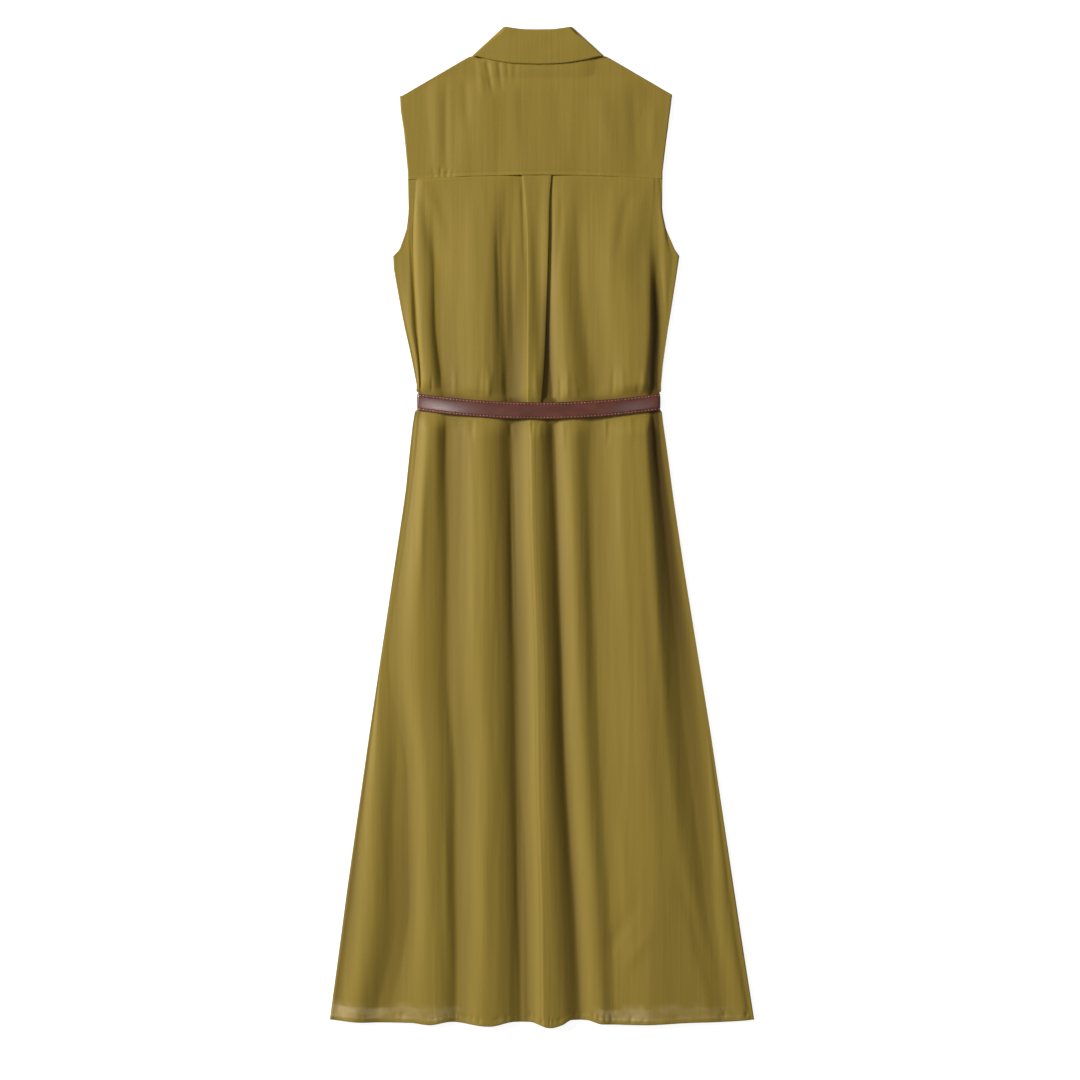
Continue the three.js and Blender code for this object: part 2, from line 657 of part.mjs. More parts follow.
function strapGeometry() {
  const path = strapPath();
  const points = [];
  const index = [];
  path.forEach((p, i) => {
    const before = path[Math.max(0, i - 1)];
    const after = path[Math.min(path.length - 1, i + 1)];
    const along = new THREE.Vector2(after.x - before.x, after.z - before.z).normalize();
    const halfWide = i === path.length - 1 ? BELT_WIDTH / 4 : BELT_WIDTH / 2;
    for (const [wide, thick] of [[-1, -1], [1, -1], [1, 1], [-1, 1]]) {
      const off = (thick * BELT_THICK) / 2;
      points.push(new THREE.Vector3(
        p.x - along.y * off, beltY(p.x) + wide * halfWide, p.z + along.x * off));
    }
  });
  const sides = 4;
  for (let i = 0; i < path.length - 1; i += 1) {
    for (let k = 0; k < sides; k += 1) {
      const a = i * sides + k;
      const b = i * sides + ((k + 1) % sides);
      index.push(a, b, b + sides, a, b + sides, a + sides);
    }
  }
  const end = (path.length - 1) * sides;
  index.push(0, 2, 1, 0, 3, 2, end, end + 1, end + 2, end, end + 2, end + 3);
  return solid(points, index);
}

// Joins closed boxes into one solid
const wasm = await Module();
wasm.setup();

function joined(boxes) {
  const parts = boxes.map(({ from, to }) => {
    const size = to.map((value, i) => value - from[i]);
    const box = new THREE.BoxGeometry(...size);
    box.translate(...from.map((value, i) => value + size[i] / 2));
    box.deleteAttribute('normal');
    box.deleteAttribute('uv');
    const merged = mergeVertices(box);
    return new wasm.Manifold(new wasm.Mesh({
      numProp: 3,
      vertProperties: new Float32Array(merged.attributes.position.array),
      triVerts: new Uint32Array(merged.index.array),
    }));
  });
  const mesh = parts.reduce((whole, part) => whole.add(part)).getMesh();
  const geometry = new THREE.BufferGeometry();
  geometry.setAttribute('position', new THREE.BufferAttribute(mesh.vertProperties, 3));
  geometry.setIndex(new THREE.BufferAttribute(mesh.triVerts, 1));
  geometry.computeVertexNormals();
  return geometry;
}

// Plain frame with a raised bar at its heel, which the strap's tip passes beneath
function buckleGeometry() {
  const y = beltY(FRONT_X);
  const inner = BELT_WIDTH / 2 + BUCKLE.play;
  const outer = inner + BUCKLE.side;
  const heel = FRONT_X + BUCKLE.heel;
  const nose = FRONT_X + BUCKLE.nose;
  const heelEnd = heel + BUCKLE.side;
  const heelLow = BELT_THICK + GAP;
  const heelTop = 2 * BELT_THICK + GAP;
  return joined([
    { from: [nose - BUCKLE.front, y - outer, 0], to: [nose, y + outer, BUCKLE_BAR] },
    { from: [heel, y - outer, 0], to: [nose, y - inner, BUCKLE_BAR] },
    { from: [heel, y + inner, 0], to: [nose, y + outer, BUCKLE_BAR] },
    { from: [heel, y - outer, 0], to: [heelEnd, y - inner, heelTop] },
    { from: [heel, y + inner, 0], to: [heelEnd, y + outer, heelTop] },
    { from: [heel, y - outer, heelLow], to: [heelEnd, y + outer, heelTop] },
  ]);
}

// A flat button with a raised rim, lying face down
function buttonGeometry() {
  const outline = BUTTON_PROFILE.map(({ r, z }) => new THREE.Vector2(r, z));
  const geometry = new THREE.LatheGeometry(outline, BUTTON_SIDES);
  geometry.rotateX(Math.PI / 2);
  return geometry;
}

const dress = new THREE.Group();

function add(name, geometry, colour, roughness, metalness = 0) {
  const material = new THREE.MeshStandardMaterial({ color: colour, roughness, metalness });
  const mesh = new THREE.Mesh(geometry, material);
  mesh.name = name;
  dress.add(mesh);
  return mesh;
}

add('back', backGeometry(), CLOTH_LIT, 0.55);
add('yoke', yokeGeometry(), CLOTH_LIT, 0.55);
add('front_left', frontGeometry(-1), CLOTH_SHADE, 0.55);
add('front_right', frontGeometry(1), CLOTH_SHADE, 0.55);
add('collar', collarGeometry(), CLOTH_LIT, 0.55);
add('collar_stand', standGeometry(), CLOTH_SHADE, 0.55);
add('belt_strap', strapGeometry(), LEATHER, 0.4);
add('belt_buckle', buckleGeometry(), BRASS, 0.35, 1);

let number = 0;
BUTTON_RUNS.forEach(({ top, pitch, count }) => {
  for (let i = 0; i < count; i += 1) {
    number += 1;
    const button = add(`button_${number}`, buttonGeometry(), HORN, 0.3);
    button.position.set(FRONT_X, top - pitch * i, 0);
  }
});

export default dress;
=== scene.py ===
# %% [markdown]
# # A shirt dress laid flat with its back upwards
# The dress is sleeveless, with a shirt collar, a back yoke, a box pleat below the yoke and a
# narrow leather belt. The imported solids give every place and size. Here each panel of cloth
# is worked out again as a fine, thin sheet on the same fold lines, with its creases.

# %% Load the frame
import math

import bpy
import numpy as np
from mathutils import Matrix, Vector


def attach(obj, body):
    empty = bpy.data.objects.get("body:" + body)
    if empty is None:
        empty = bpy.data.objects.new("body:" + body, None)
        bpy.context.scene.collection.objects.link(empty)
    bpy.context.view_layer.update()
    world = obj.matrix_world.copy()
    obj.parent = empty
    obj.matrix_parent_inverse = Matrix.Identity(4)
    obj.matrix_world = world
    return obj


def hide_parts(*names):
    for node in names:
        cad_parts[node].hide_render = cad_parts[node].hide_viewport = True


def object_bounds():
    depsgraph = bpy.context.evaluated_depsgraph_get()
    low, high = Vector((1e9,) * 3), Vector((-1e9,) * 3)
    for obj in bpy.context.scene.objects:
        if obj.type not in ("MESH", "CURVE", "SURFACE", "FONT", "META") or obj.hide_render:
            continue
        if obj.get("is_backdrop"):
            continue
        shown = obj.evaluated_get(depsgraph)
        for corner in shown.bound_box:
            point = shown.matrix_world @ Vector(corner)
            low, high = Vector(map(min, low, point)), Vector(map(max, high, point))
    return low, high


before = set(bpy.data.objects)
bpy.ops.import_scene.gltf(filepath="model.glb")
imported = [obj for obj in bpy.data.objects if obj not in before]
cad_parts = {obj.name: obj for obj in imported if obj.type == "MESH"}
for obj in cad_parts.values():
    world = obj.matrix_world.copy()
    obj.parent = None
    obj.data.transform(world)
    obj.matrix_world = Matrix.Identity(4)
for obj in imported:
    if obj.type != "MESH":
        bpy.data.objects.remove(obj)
cad_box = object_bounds()
print("solids:", len(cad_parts))

# %% [markdown]
# ## Sizes
# All lengths are millimetres, as a pattern cutter writes them, and MM turns them into
# Blender's metres when a mesh is made. The tables are the same fold lines that the solids
# follow: a crest or valley has a place x and a height z at stations down the length.

# %% Sizes of the dress
MM = 0.001
CLOTH = 1.0
HALF = CLOTH / 2
GAP = 0.3
LAYER = CLOTH + GAP
SHELL = 0.6
NECK_X = -5.0
FRONT_X = -4.0
SEAM_Y = 438.0
SEAM_RISE = 5.0
HEM_Y = -618.0
NECK_Y = 584.3
SHOULDER_Y = 538.0
FRONT_NECK_Y = 547.6
NECK_HALF = 70.0
BELT_Y, BELT_SAG, BELT_X, BELT_HALF = 144.5, 11.0, -4.1, 148.7
BELT_SIDE, BELT_ARCH, BELT_ROW = 4.1, 6.3, 150.0
BELT_WIDTH, BELT_THICK, BUCKLE_BAR = 21.0, 2.0, 2.2
BELT_PULL, BELT_HOLD, BELT_RUN_OUT = 0.6, 12.2, 1.6
STRAP_DOUBLED = (-121.0, 54.0)
LAP_HALF, LAP_RAMP, LAP_RAISE = 16.0, 14.0, 2.1
LEAVES_Y = 492.0
BUTTONS = [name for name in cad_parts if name.startswith("button_")]

EDGE = {
    "y": [538, 521, 496, 446, 396, 371, 346, 338, 321, 246, 196, 171, 146, 121, 46, -54,
          -254, -454, -618],
    "left": [-177.5, -176.5, -172.5, -167.5, -166.5, -169, -178, -186, -185, -171.5, -161.5,
             -156.5, -157.5, -161.5, -170, -185, -215, -243.5, -265],
    "right": [162.5, 160.5, 157, 150.5, 150, 155, 166, 171.5, 169, 157.5, 151, 148.7, 148.7,
              151.5, 162.5, 177.5, 210, 240, 265],
}
HEM = {
    "x": [-265, -215, -165, -140, -115, -65, -35, -15, 10, 25, 37, 55, 75, 125, 185, 230, 265],
    "y": [-615.5, -619, -619, -621.5, -618, -623, -618, -618, -624.9, -621.5, -615.5, -615.5,
          -620.5, -621.5, -619, -618, -615.5],
}
STATIONS = [438, 358, 258, 171, 121, -17, -167, -317, -467, -618]

# %% Fold lines of the back
LEFT_FOLDS = [
    {"name": "side roll", "columns": 10, "ease": "wave",
     "x": [-161, -165.5, -163.5, -154.2, -157.5, -174, -200, -209, -212, -234],
     "z": [3.0, 3.6, 5.8, 5.0, 4.0, 3.4, 3.6, 8.2, 10.0, 9.2]},
    {"name": "side gap", "columns": 12, "ease": "slide",
     "x": [-158, -161, -156, -150.5, -153.8, -170, -190, -173, -174, -203],
     "z": [2.8, 1.9, 1.8, 1.8, 4.2, 3.8, 3.6, 2.8, 2.2, 2.6],
     "loose": [0, 0, 0, 0, 0, 0, 0.4, 1, 1, 1]},
    {"name": "left roll", "columns": 24, "ease": "from gap",
     "x": [-147.5, -150, -146, -140, -139, -148, -152, -142, -138, -136],
     "z": [5.0, 8.4, 10.4, 11.0, 11.4, 11.0, 10.8, 10.6, 10.4, 9.6],
     "bulge": [0, 3.0, 3.6, 3.4, 0, 0, 0, 0, 0, 0],
     "loose": [0, 0, 0, 0, 0, 0.3, 0.6, 1, 1, 1]},
    {"name": "left valley", "columns": 20, "ease": "fall",
     "x": [-134, -135, -134, -125, -119, -119, -119, -110, -108, -107],
     "z": [5.2, 5.6, 5.2, 4.2, 3.8, 3.6, 3.8, 3.6, 3.2, 3.0]},
    {"name": "inner left roll", "columns": 26, "ease": "rise",
     "x": [-72, -69, -72, -74, -75, -72, -74, -70, -72, -75],
     "z": [5.85, 10.0, 12.6, 13.6, 14.0, 14.0, 13.8, 13.8, 13.6, 12.6]},
    {"name": "pleat valley", "columns": 24, "ease": "fall",
     "x": [-46, -49, -46, -43, -40, -38, -33, -31, -28, -26],
     "z": [5.6, 5.3, 4.8, 4.0, 3.0, 2.6, 2.6, 2.6, 2.6, 2.4]},
]
RIGHT_FOLDS = [
    {"name": "pleat valley", "columns": 6, "ease": "wave",
     "x": [14, 10, 8.5, 11.5, 15, 18.5, 23.5, 30, 39.5, 46],
     "z": [5.3, 5.2, 4.8, 3.6, 3.4, 3.0, 2.8, 2.6, 2.6, 2.6]},
    {"name": "inner right roll", "columns": 20, "ease": "climb",
     "x": [30, 24, 28, 34, 38, 42, 47, 56, 66, 74],
     "z": [5.8, 8.6, 10.6, 11.6, 11.8, 12.0, 11.8, 11.6, 11.2, 10.4]},
    {"name": "right valley", "columns": 16, "ease": "wave",
     "x": [55, 49, 54, 66, 64, 66, 70, 77, 84, 92],
     "z": [5.4, 6.2, 5.4, 5.0, 5.4, 5.8, 6.4, 6.6, 6.8, 7.2]},
    {"name": "right roll", "columns": 24, "ease": "rise",
     "x": [100, 94, 109, 112, 108, 117, 124, 133, 138, 134],
     "z": [5.4, 10.0, 11.8, 12.4, 12.6, 12.6, 12.4, 12.0, 11.6, 10.6]},
    {"name": "right fold edge", "columns": 14, "ease": "wave",
     "x": [139, 134, 135, 130.5, 131, 140.5, 149, 161, 179, 205],
     "z": [4.6, 5.6, 11.4, 12.2, 12.4, 12.0, 11.4, 10.4, 8.8, 7.2]},
    {"name": "right gap", "columns": 18, "ease": "drop",
     "x": [144, 144.5, 146.5, 143.5, 146, 166.5, 187.5, 200, 211, 234],
     "z": [4.0, 4.2, 1.8, 1.8, 1.8, 1.8, 1.8, 1.8, 2.4, 4.0],
     "bulge": [0, 1.0, 1.0, 1.2, 1.0, 0.3, 0, 0, 0, 0],
     "loose": [0, 0, 0, 0, 0, 0, 0, 0.4, 1, 1]},
    {"name": "side fold", "columns": 10, "ease": "wave",
     "x": [147.2, 153, 154.5, 147, 151, 173.5, 198.5, 214, 229, 254],
     "z": [3.4, 5.0, 3.4, 2.4, 2.2, 2.2, 2.6, 4.0, 5.0, 4.8]},
]
EDGE_STEP = 1.7
TURN_RADIUS, PLEAT_FOOT = 0.75, 5.3
PLEAT = {
    "v": [438, 408, 358, 258, 200, 171, 121, -17, -167, -317, -467, -618],
    "left": [-24.4, -21, -18, -17, -17, -17, -13, -10, -4.5, -3, 1, 3],
    "leftZ": [6.8, 7.8, 9.6, 11.4, 12.2, 12.6, 13.4, 14.2, 14.4, 14.4, 14, 12.8],
    "turnL": [180, 166, 140, 95, 70, 55, 33, 26, 24, 24, 24, 24],
    "runL": [12, 10, 6, 2.5, 2, 2, 2, 2, 2, 2, 2, 2],
    "dip": [-6, -6, -5, -3, -4, -6, -10.5, -7.5, -1.5, 1, 5.5, 8],
    "dipZ": [6.3, 6.8, 7.3, 7.9, 10.6, 11.6, 13.4, 14.3, 14.5, 14.5, 14.1, 12.9],
    "right": [11.3, 8.75, 7.5, 4.5, 1.5, -1, -8, -5, 1.5, 4.5, 10, 13],
    "rightZ": [6.8, 7.8, 9.2, 9.0, 9.4, 10.0, 12.9, 14.0, 14.2, 14.2, 13.8, 12.6],
    "turnR": [180, 170, 158, 120, 100, 85, 12, 6, 5, 5, 5, 5],
    "runR": [12, 10, 7, 4, 4, 4, 0.6, 0.4, 0.4, 0.4, 0.4, 0.4],
    "radius": [0.75, 0.75, 0.75, 0.8, 0.9, 1.0, 3.0, 4.0, 4.0, 4.0, 4.0, 4.0],
}

# %% [markdown]
# ## Working with whole arrays
# Every surface here is a grid: one row of points for each place down the cloth. A smooth
# curve through a short table gives each fold line, and each helper takes and returns whole
# numpy arrays, so nothing loops over points.

# %% Curves through tables
def smooth(t):
    """Three t squared minus two t cubed, with t held between 0 and 1."""
    t = np.clip(t, 0.0, 1.0)
    return t * t * (3 - 2 * t)


def mix(a, b, t):
    return a + (b - a) * t


def curve(places, values, at):
    """Cubic through the values, with the harmonic mean of the two slopes at each place."""
    p, f = np.asarray(places, float), np.asarray(values, float)
    if p[0] > p[-1]:
        p, f = p[::-1], f[::-1]
    at = np.clip(at, p[0], p[-1])
    slope = np.diff(f) / np.diff(p)
    product = slope[:-1] * slope[1:]
    total = np.where(product > 0, slope[:-1] + slope[1:], 1.0)
    inner = np.where(product > 0, 2 * product / total, 0.0)
    tangent = np.concatenate([slope[:1], inner, slope[-1:]])
    i = np.clip(np.searchsorted(p, at, side="right") - 1, 0, len(p) - 2)
    width = p[i + 1] - p[i]
    t = (at - p[i]) / width
    rise = t * t * (3 - 2 * t)
    bend = width * t * (1 - t) * ((1 - t) * tangent[i] - t * tangent[i + 1])
    return mix(f[i], f[i + 1], rise) + bend


def line(table, place, name, at):
    """Straight stretches between the rows of a table, for edges with corners."""
    p, f = np.asarray(table[place], float), np.asarray(table[name], float)
    order = np.argsort(p)
    return np.interp(at, p[order], f[order])


def value_noise(x, y, cell_x, cell_y, seed):
    """Random heights from -1 to 1 on a lattice of cells, eased between its corners."""
    size = 97
    lattice = np.random.default_rng(seed).uniform(-1, 1, (size, size))
    gx, gy = x / cell_x + 40.3, y / cell_y + 40.7
    ix, iy = np.floor(gx).astype(int), np.floor(gy).astype(int)
    tx, ty = smooth(gx - ix), smooth(gy - iy)
    corner = lambda dx, dy: lattice[(ix + dx) % size, (iy + dy) % size]
    low = mix(corner(0, 0), corner(1, 0), tx)
    high = mix(corner(0, 1), corner(1, 1), tx)
    return mix(low, high, ty)


def creases(x, y, table):
    """Sum of soft lines: height times exp(-(distance/width)^2), fading to each end."""
    total = np.zeros_like(x)
    for x0, y0, x1, y1, width, height in table:
        dx, dy = x1 - x0, y1 - y0
        length = math.hypot(dx, dy)
        along = ((x - x0) * dx + (y - y0) * dy) / length
        across = ((x - x0) * dy - (y - y0) * dx) / length
        ends = smooth(along / (0.3 * length)) * smooth((length - along) / (0.45 * length))
        total += height * np.exp(-((across / width) ** 2)) * ends
    return total

# %% [markdown]
# ## What lies under the back
# The fronts lie on the floor, and they rise over the belt, the collar leaves and the row of
# buttons. The back has to clear them, and the belt presses it flat, so both the fronts and
# the back read these heights.

# %% Belt line and the height of the fronts
def belt_y(x):
    """Middle line of the belt: a parabola that hangs lowest at the middle of the back."""
    return BELT_Y + BELT_SAG * ((x - BELT_X) / BELT_HALF) ** 2


def belt_press(x):
    """Height of the cloth under the belt: a low arch from side to side."""
    out = np.minimum(1, np.abs(x - BELT_X) / BELT_HALF)
    return BELT_SIDE + BELT_ARCH * (1 - out ** 3)


def belt_raise(x, y):
    """How far the belt's front lifts the fronts, more where strap and buckle are double."""
    s = x - FRONT_X
    doubled = smooth((s - STRAP_DOUBLED[0]) / 20) * smooth((STRAP_DOUBLED[1] - s) / 20)
    height = BELT_THICK - 0.1 + (BELT_THICK + GAP) * doubled
    return height * smooth((17.5 - np.abs(y - belt_y(x))) / 6.5)


def front_height(side, x, y):
    """Middle height of a front: the largest of what lies under it at each point."""
    s = (x - FRONT_X) * side
    lap = smooth((LAP_HALF + LAP_RAMP - s) / LAP_RAMP)
    leaves = LAYER * smooth((y - LEAVES_Y) / 20)
    lift = np.maximum(np.maximum(LAP_RAISE * lap, belt_raise(x, y)), leaves)
    return HALF + lift + (LAYER * lap if side < 0 else 0)


def above_fronts(x, y):
    """Lowest middle height that clears both fronts."""
    past = LAYER * smooth((x - FRONT_X - LAP_HALF) / LAP_RAMP)
    top = np.maximum.reduce([np.maximum(front_height(-1, x, y + dy) - past * (x > FRONT_X),
                                        front_height(1, x, y + dy)) for dy in (-3, 0, 3)])
    return mix(top + SHELL + 0.15, 2 * LAYER + HALF, smooth((y - FRONT_NECK_Y - 3) / 14))


def edge(name, y):
    """Side edge of the dress, drawn in where the belt goes round it."""
    side = -1 if name == "left" else 1
    outline = line(EDGE, "y", name, y)
    inside = BELT_X + side * (BELT_HALF - BELT_PULL)
    near = smooth((BELT_HOLD - np.abs(y - BELT_ROW)) / BELT_RUN_OUT)
    held = np.maximum(outline, inside) if side < 0 else np.minimum(outline, inside)
    return mix(outline, held, near)


def hem_line(x):
    return curve(HEM["x"], HEM["y"], x)


def row_y(v, x, hem):
    """A row of the cloth bends with the yoke seam, the belt line and the hem."""
    by_seam = (SEAM_RISE * (1 - (x / 156) ** 2) - 3.5) * smooth((v - 366) / 60)
    by_belt = (belt_y(x) - BELT_ROW) * smooth((130 - np.abs(v - BELT_ROW)) / 90)
    by_hem = (hem - HEM_Y) * smooth((-500 - v) / 110)
    return v + by_seam + by_belt + by_hem

# %% [markdown]
# ## From grid to sheet
# A mesh gets its points and faces from arrays, with a UV map in metres along the cloth, and
# a Solidify modifier gives the sheet its thickness. A face's corners go round so that the
# sheet's outer side looks up.

# %% Make a sheet from a grid of points
def grid_faces(rows, columns):
    r, c = np.meshgrid(np.arange(rows - 1), np.arange(columns - 1), indexing="ij")
    a = (r * columns + c).ravel()
    return np.stack([a, a + columns, a + columns + 1, a + 1], axis=1)


def mesh_object(name, points, faces, uv=None):
    """Points in millimetres and a list of faces to an object, with a UV map if one is given."""
    mesh = bpy.data.meshes.new(name)
    mesh.from_pydata((points.reshape(-1, 3) * MM).tolist(), [], faces)
    if uv is not None:
        corners = np.empty(len(mesh.loops), np.int32)
        mesh.loops.foreach_get("vertex_index", corners)
        layer = mesh.uv_layers.new(name="cloth")
        layer.data.foreach_set("uv", uv.reshape(-1, 2)[corners].astype(np.float32).ravel())
    mesh.polygons.foreach_set("use_smooth", np.ones(len(mesh.polygons), bool))
    mesh.update()
    piece = bpy.data.objects.new(name, mesh)
    bpy.context.scene.collection.objects.link(piece)
    return piece


def sheet_object(name, points, thickness=SHELL, flip=False):
    """Grid of points to a cloth sheet: UV is the length along rows and columns."""
    rows, columns = points.shape[:2]
    across = np.linalg.norm(np.diff(points, axis=1), axis=2)
    along = np.linalg.norm(np.diff(points, axis=0), axis=2)
    u = np.concatenate([np.zeros((rows, 1)), np.cumsum(across, axis=1)], axis=1) * MM
    w = np.concatenate([np.zeros((1, columns)), np.cumsum(along, axis=0)], axis=0) * MM
    faces = grid_faces(rows, columns)
    if flip:
        faces = faces[:, ::-1]
    piece = mesh_object(name, points, faces.tolist(), np.stack([u, w], axis=2))
    shell = piece.modifiers.new("thickness", "SOLIDIFY")
    shell.thickness = thickness * MM
    shell.offset = 0
    shell.use_even_offset = False
    a, b = points[:-1, :-1], points[1:, 1:]
    c, d = points[:-1, 1:], points[1:, :-1]
    area = np.linalg.norm(np.cross(b - a, d - c), axis=2).sum() / 2 * MM * MM
    print(name, points.shape[:2], "area m2", round(float(area), 4), "widest m",
          round(float(u[:, -1].max()), 3), "longest m", round(float(w[-1].max()), 3))
    return piece

# %% [markdown]
# ## Shader maths
# A finish is a formula. This small class lets Python's plus and times add the Math nodes,
# so a material reads as the sum that it is.

# %% A socket that can be added and multiplied
class Wire:
    """An output socket of a material. Operators on it add Math nodes."""

    def __init__(self, finish, socket):
        self.finish = finish
        self.socket = socket

    def maths(self, operation, *values):
        return self.finish.add("ShaderNodeMath", {"operation": operation}, dict(enumerate(values)))

    def __add__(self, other):
        return self.maths("ADD", self, other)

    def __sub__(self, other):
        return self.maths("SUBTRACT", self, other)

    def __rsub__(self, other):
        return self.maths("SUBTRACT", other, self)

    def __mul__(self, other):
        return self.maths("MULTIPLY", self, other)

    __radd__ = __add__
    __rmul__ = __mul__


class Finish:
    """A material under construction: nodes are added by type, and Wires join them."""

    def __init__(self, name, **constants):
        self.material = bpy.data.materials.new(name)
        self.material.use_nodes = True
        self.tree = self.material.node_tree
        self.shader = self.tree.nodes["Principled BSDF"]
        for socket, value in constants.items():
            self.shader.inputs[socket.replace("_", " ")].default_value = value

    def add(self, kind, settings, inputs, output=0):
        node = self.tree.nodes.new(kind)
        for key, value in settings.items():
            setattr(node, key, value)
        for key, value in inputs.items():
            self.join(node.inputs[key], value)
        return Wire(self, node.outputs[output])

    def join(self, socket, value):
        if isinstance(value, Wire):
            self.tree.links.new(value.socket, socket)
        else:
            socket.default_value = value

    def place(self, scale):
        """Object coordinates, stretched by three factors, in cells per metre."""
        where = self.add("ShaderNodeTexCoord", {}, {}, "Object")
        return self.add("ShaderNodeVectorMath", {"operation": "MULTIPLY"}, {0: where, 1: scale})

    def noise(self, scale, detail=2.0):
        return self.add("ShaderNodeTexNoise", {},
                        {"Vector": self.place(scale), "Scale": 1.0, "Detail": detail}, "Fac")

    def band(self, value, low, high):
        """0 below low, 1 above high, eased between."""
        return self.add("ShaderNodeMapRange", {"interpolation_type": "SMOOTHSTEP"},
                        {"Value": value, "From Min": low, "From Max": high})

    def colours(self, factor, first, second):
        return self.add("ShaderNodeMix", {"data_type": "RGBA"}, {0: factor, 6: first, 7: second}, 2)

    def attribute(self, name):
        return self.add("ShaderNodeAttribute", {"attribute_name": name}, {}, "Fac")

    def set(self, socket, value):
        self.join(self.shader.inputs[socket], value)

    def bump(self, height, strength, distance):
        normal = self.add("ShaderNodeBump", {},
                          {"Height": height, "Strength": strength, "Distance": distance}, "Normal")
        self.join(self.shader.inputs["Normal"], normal)

# %% [markdown]
# ## Finishes
# The cloth is a matt satin crepe: olive with a yellow cast and fine streaks down the length.
# Painted shade makes it darker and browner in its folds, its deepest gaps and along the strap's
# upper edge. Near the hem it is single and lets pale light through, which a painted attribute
# marks. The belt is smooth brown leather.

# %% Cloth
OLIVE = (0.220, 0.153, 0.023, 1)
OLIVE_DEEP = (0.193, 0.129, 0.020, 1)
# Painted shade: the darker brown that the cloth is mixed towards in folds, gaps and at the strap's
# edge
OLIVE_PAINTED_SHADE = (0.078, 0.046, 0.006, 1)
SHEER = (0.33, 0.25, 0.105, 1)


def crepe(name, lit, deep):
    finish = Finish(name, Specular_IOR_Level=0.16, Sheen_Weight=0.03, Sheen_Roughness=0.4)
    streak = finish.noise((210, 9, 60), 3.0)
    cloud = finish.noise((9, 4, 9), 2.0)
    yarn = finish.noise((2400, 900, 900), 1.0)
    tone = finish.band(streak * 0.4 + cloud * 0.6, 0.36, 0.66)
    colour = finish.colours(tone * 0.4, lit, deep)
    sheer = finish.attribute("sheer")
    # Painted shade: the depth attribute mixes the colour towards the painted shade colour
    depth = finish.attribute("depth")
    colour = finish.colours(depth, colour, OLIVE_PAINTED_SHADE)
    finish.set("Base Color", finish.colours(sheer, colour, SHEER))
    finish.set("Roughness", 0.52 + streak * 0.12)
    finish.bump(yarn * 0.5 + streak, 0.5, 0.0005)
    return finish.material


crepe_cloth = crepe("dress_crepe", OLIVE, OLIVE_DEEP)

# %% Leather, thread, horn and brass
def leather():
    finish = Finish("belt_leather", Specular_IOR_Level=0.25, Coat_Weight=0.5, Coat_Roughness=0.2)
    grain = finish.noise((700, 700, 700), 3.0)
    cloud = finish.noise((30, 60, 30), 2.0)
    finish.set("Base Color", finish.colours(finish.band(cloud, 0.3, 0.7),
                                            (0.070, 0.015, 0.007, 1), (0.108, 0.026, 0.013, 1)))
    finish.set("Roughness", 0.34 + grain * 0.2)
    finish.bump(grain, 0.25, 0.0003)
    return finish.material


def plain(name, colour, deep, roughness, metallic=0.0, scale=160):
    """A small hard thing: two tones in soft clouds and a little unevenness."""
    finish = Finish(name, Metallic=metallic)
    cloud = finish.noise((scale, scale, scale), 3.0)
    finish.set("Base Color", finish.colours(finish.band(cloud, 0.35, 0.65), colour, deep))
    finish.set("Roughness", roughness + cloud * 0.15)
    finish.bump(cloud, 0.1, 0.0002)
    return finish.material


belt_leather = leather()
belt_thread = plain("belt_thread", (0.44, 0.28, 0.19, 1), (0.22, 0.12, 0.08, 1), 0.6, scale=420)
button_horn = plain("button_horn", (0.24, 0.17, 0.06, 1), (0.10, 0.065, 0.025, 1), 0.2)
buckle_brass = plain("buckle_metal", (0.62, 0.45, 0.20, 1), (0.52, 0.37, 0.16, 1), 0.25, 1.0)

# %% [markdown]
# ## The back
# The back is one panel from the yoke seam to the hem. Across each row it runs from the left
# edge over the left folds, turns under at the pleat's left edge, crosses the box, turns under
# again and runs over the right folds to the other edge. A row is a path of x and z, so a fold
# may overhang, and all the rows together make the sheet.

# %% Rows of points across the back
EASES = {
    "wave": lambda t: (1 - np.cos(np.pi * t)) / 2,
    "from gap": lambda t: np.sin(np.pi * t / 2) ** 0.9,
    "fall": lambda t: t ** 2.0,
    "rise": lambda t: smooth(t) * 0.45 + t * 0.55,
    "drop": lambda t: 1 - (1 - t) ** 2.6,
    "slide": lambda t: t ** 1.45,
    "climb": lambda t: np.sin(np.pi * t / 2) ** 0.85 * 0.6 + smooth(t) * 0.4,
}
TURN_COLUMNS, BOX_COLUMNS, FOOT_COLUMNS, VALLEY_COLUMNS, SIDE_COLUMNS = 7, 9, 16, 14, 8
WANDER = 1.2


def fold_lines(folds, v, side_x):
    """Place and height of each fold line at each row, kept inside the side edge."""
    side = np.sign(side_x[0])
    lines = []
    for i, fold in enumerate(folds):
        step = i + 1 if side < 0 else len(folds) - i
        limit = np.abs(side_x) - EDGE_STEP * step
        wander = WANDER * value_noise(v, np.full_like(v, i * 57.0), 120, 50, 5)
        if fold["name"] == "pleat valley":
            limit = 1000.0
        out = np.minimum(limit, side * curve(STATIONS, fold["x"], v) + wander)
        bulge, loose = (curve(STATIONS, fold.get(name, [0] * len(STATIONS)), v)
                        for name in ("bulge", "loose"))
        lines.append((side * out, curve(STATIONS, fold["z"], v), fold["columns"],
                      fold["ease"], bulge, loose))
    return lines


def waves(knots):
    """Between two fold lines z follows an ease of t, and a plain wave where it is loose. x
    bulges by a sine of t."""
    xs, zs = [], []
    for i in range(1, len(knots)):
        x0, z0 = knots[i - 1][:2]
        x1, z1, columns, ease, bulge, loose = knots[i]
        t = np.linspace(0, 1, columns + 1)[None, (0 if i == 1 else 1):]
        over = -bulge if ease == "from gap" else bulge
        level = mix(EASES[ease](t), EASES["wave"](t), loose[:, None])
        xs.append(mix(x0[:, None], x1[:, None], t) + over[:, None] * np.sin(np.pi * t) ** 0.8)
        zs.append(mix(z0[:, None], z1[:, None], level))
    return np.concatenate(xs, axis=1), np.concatenate(zs, axis=1)


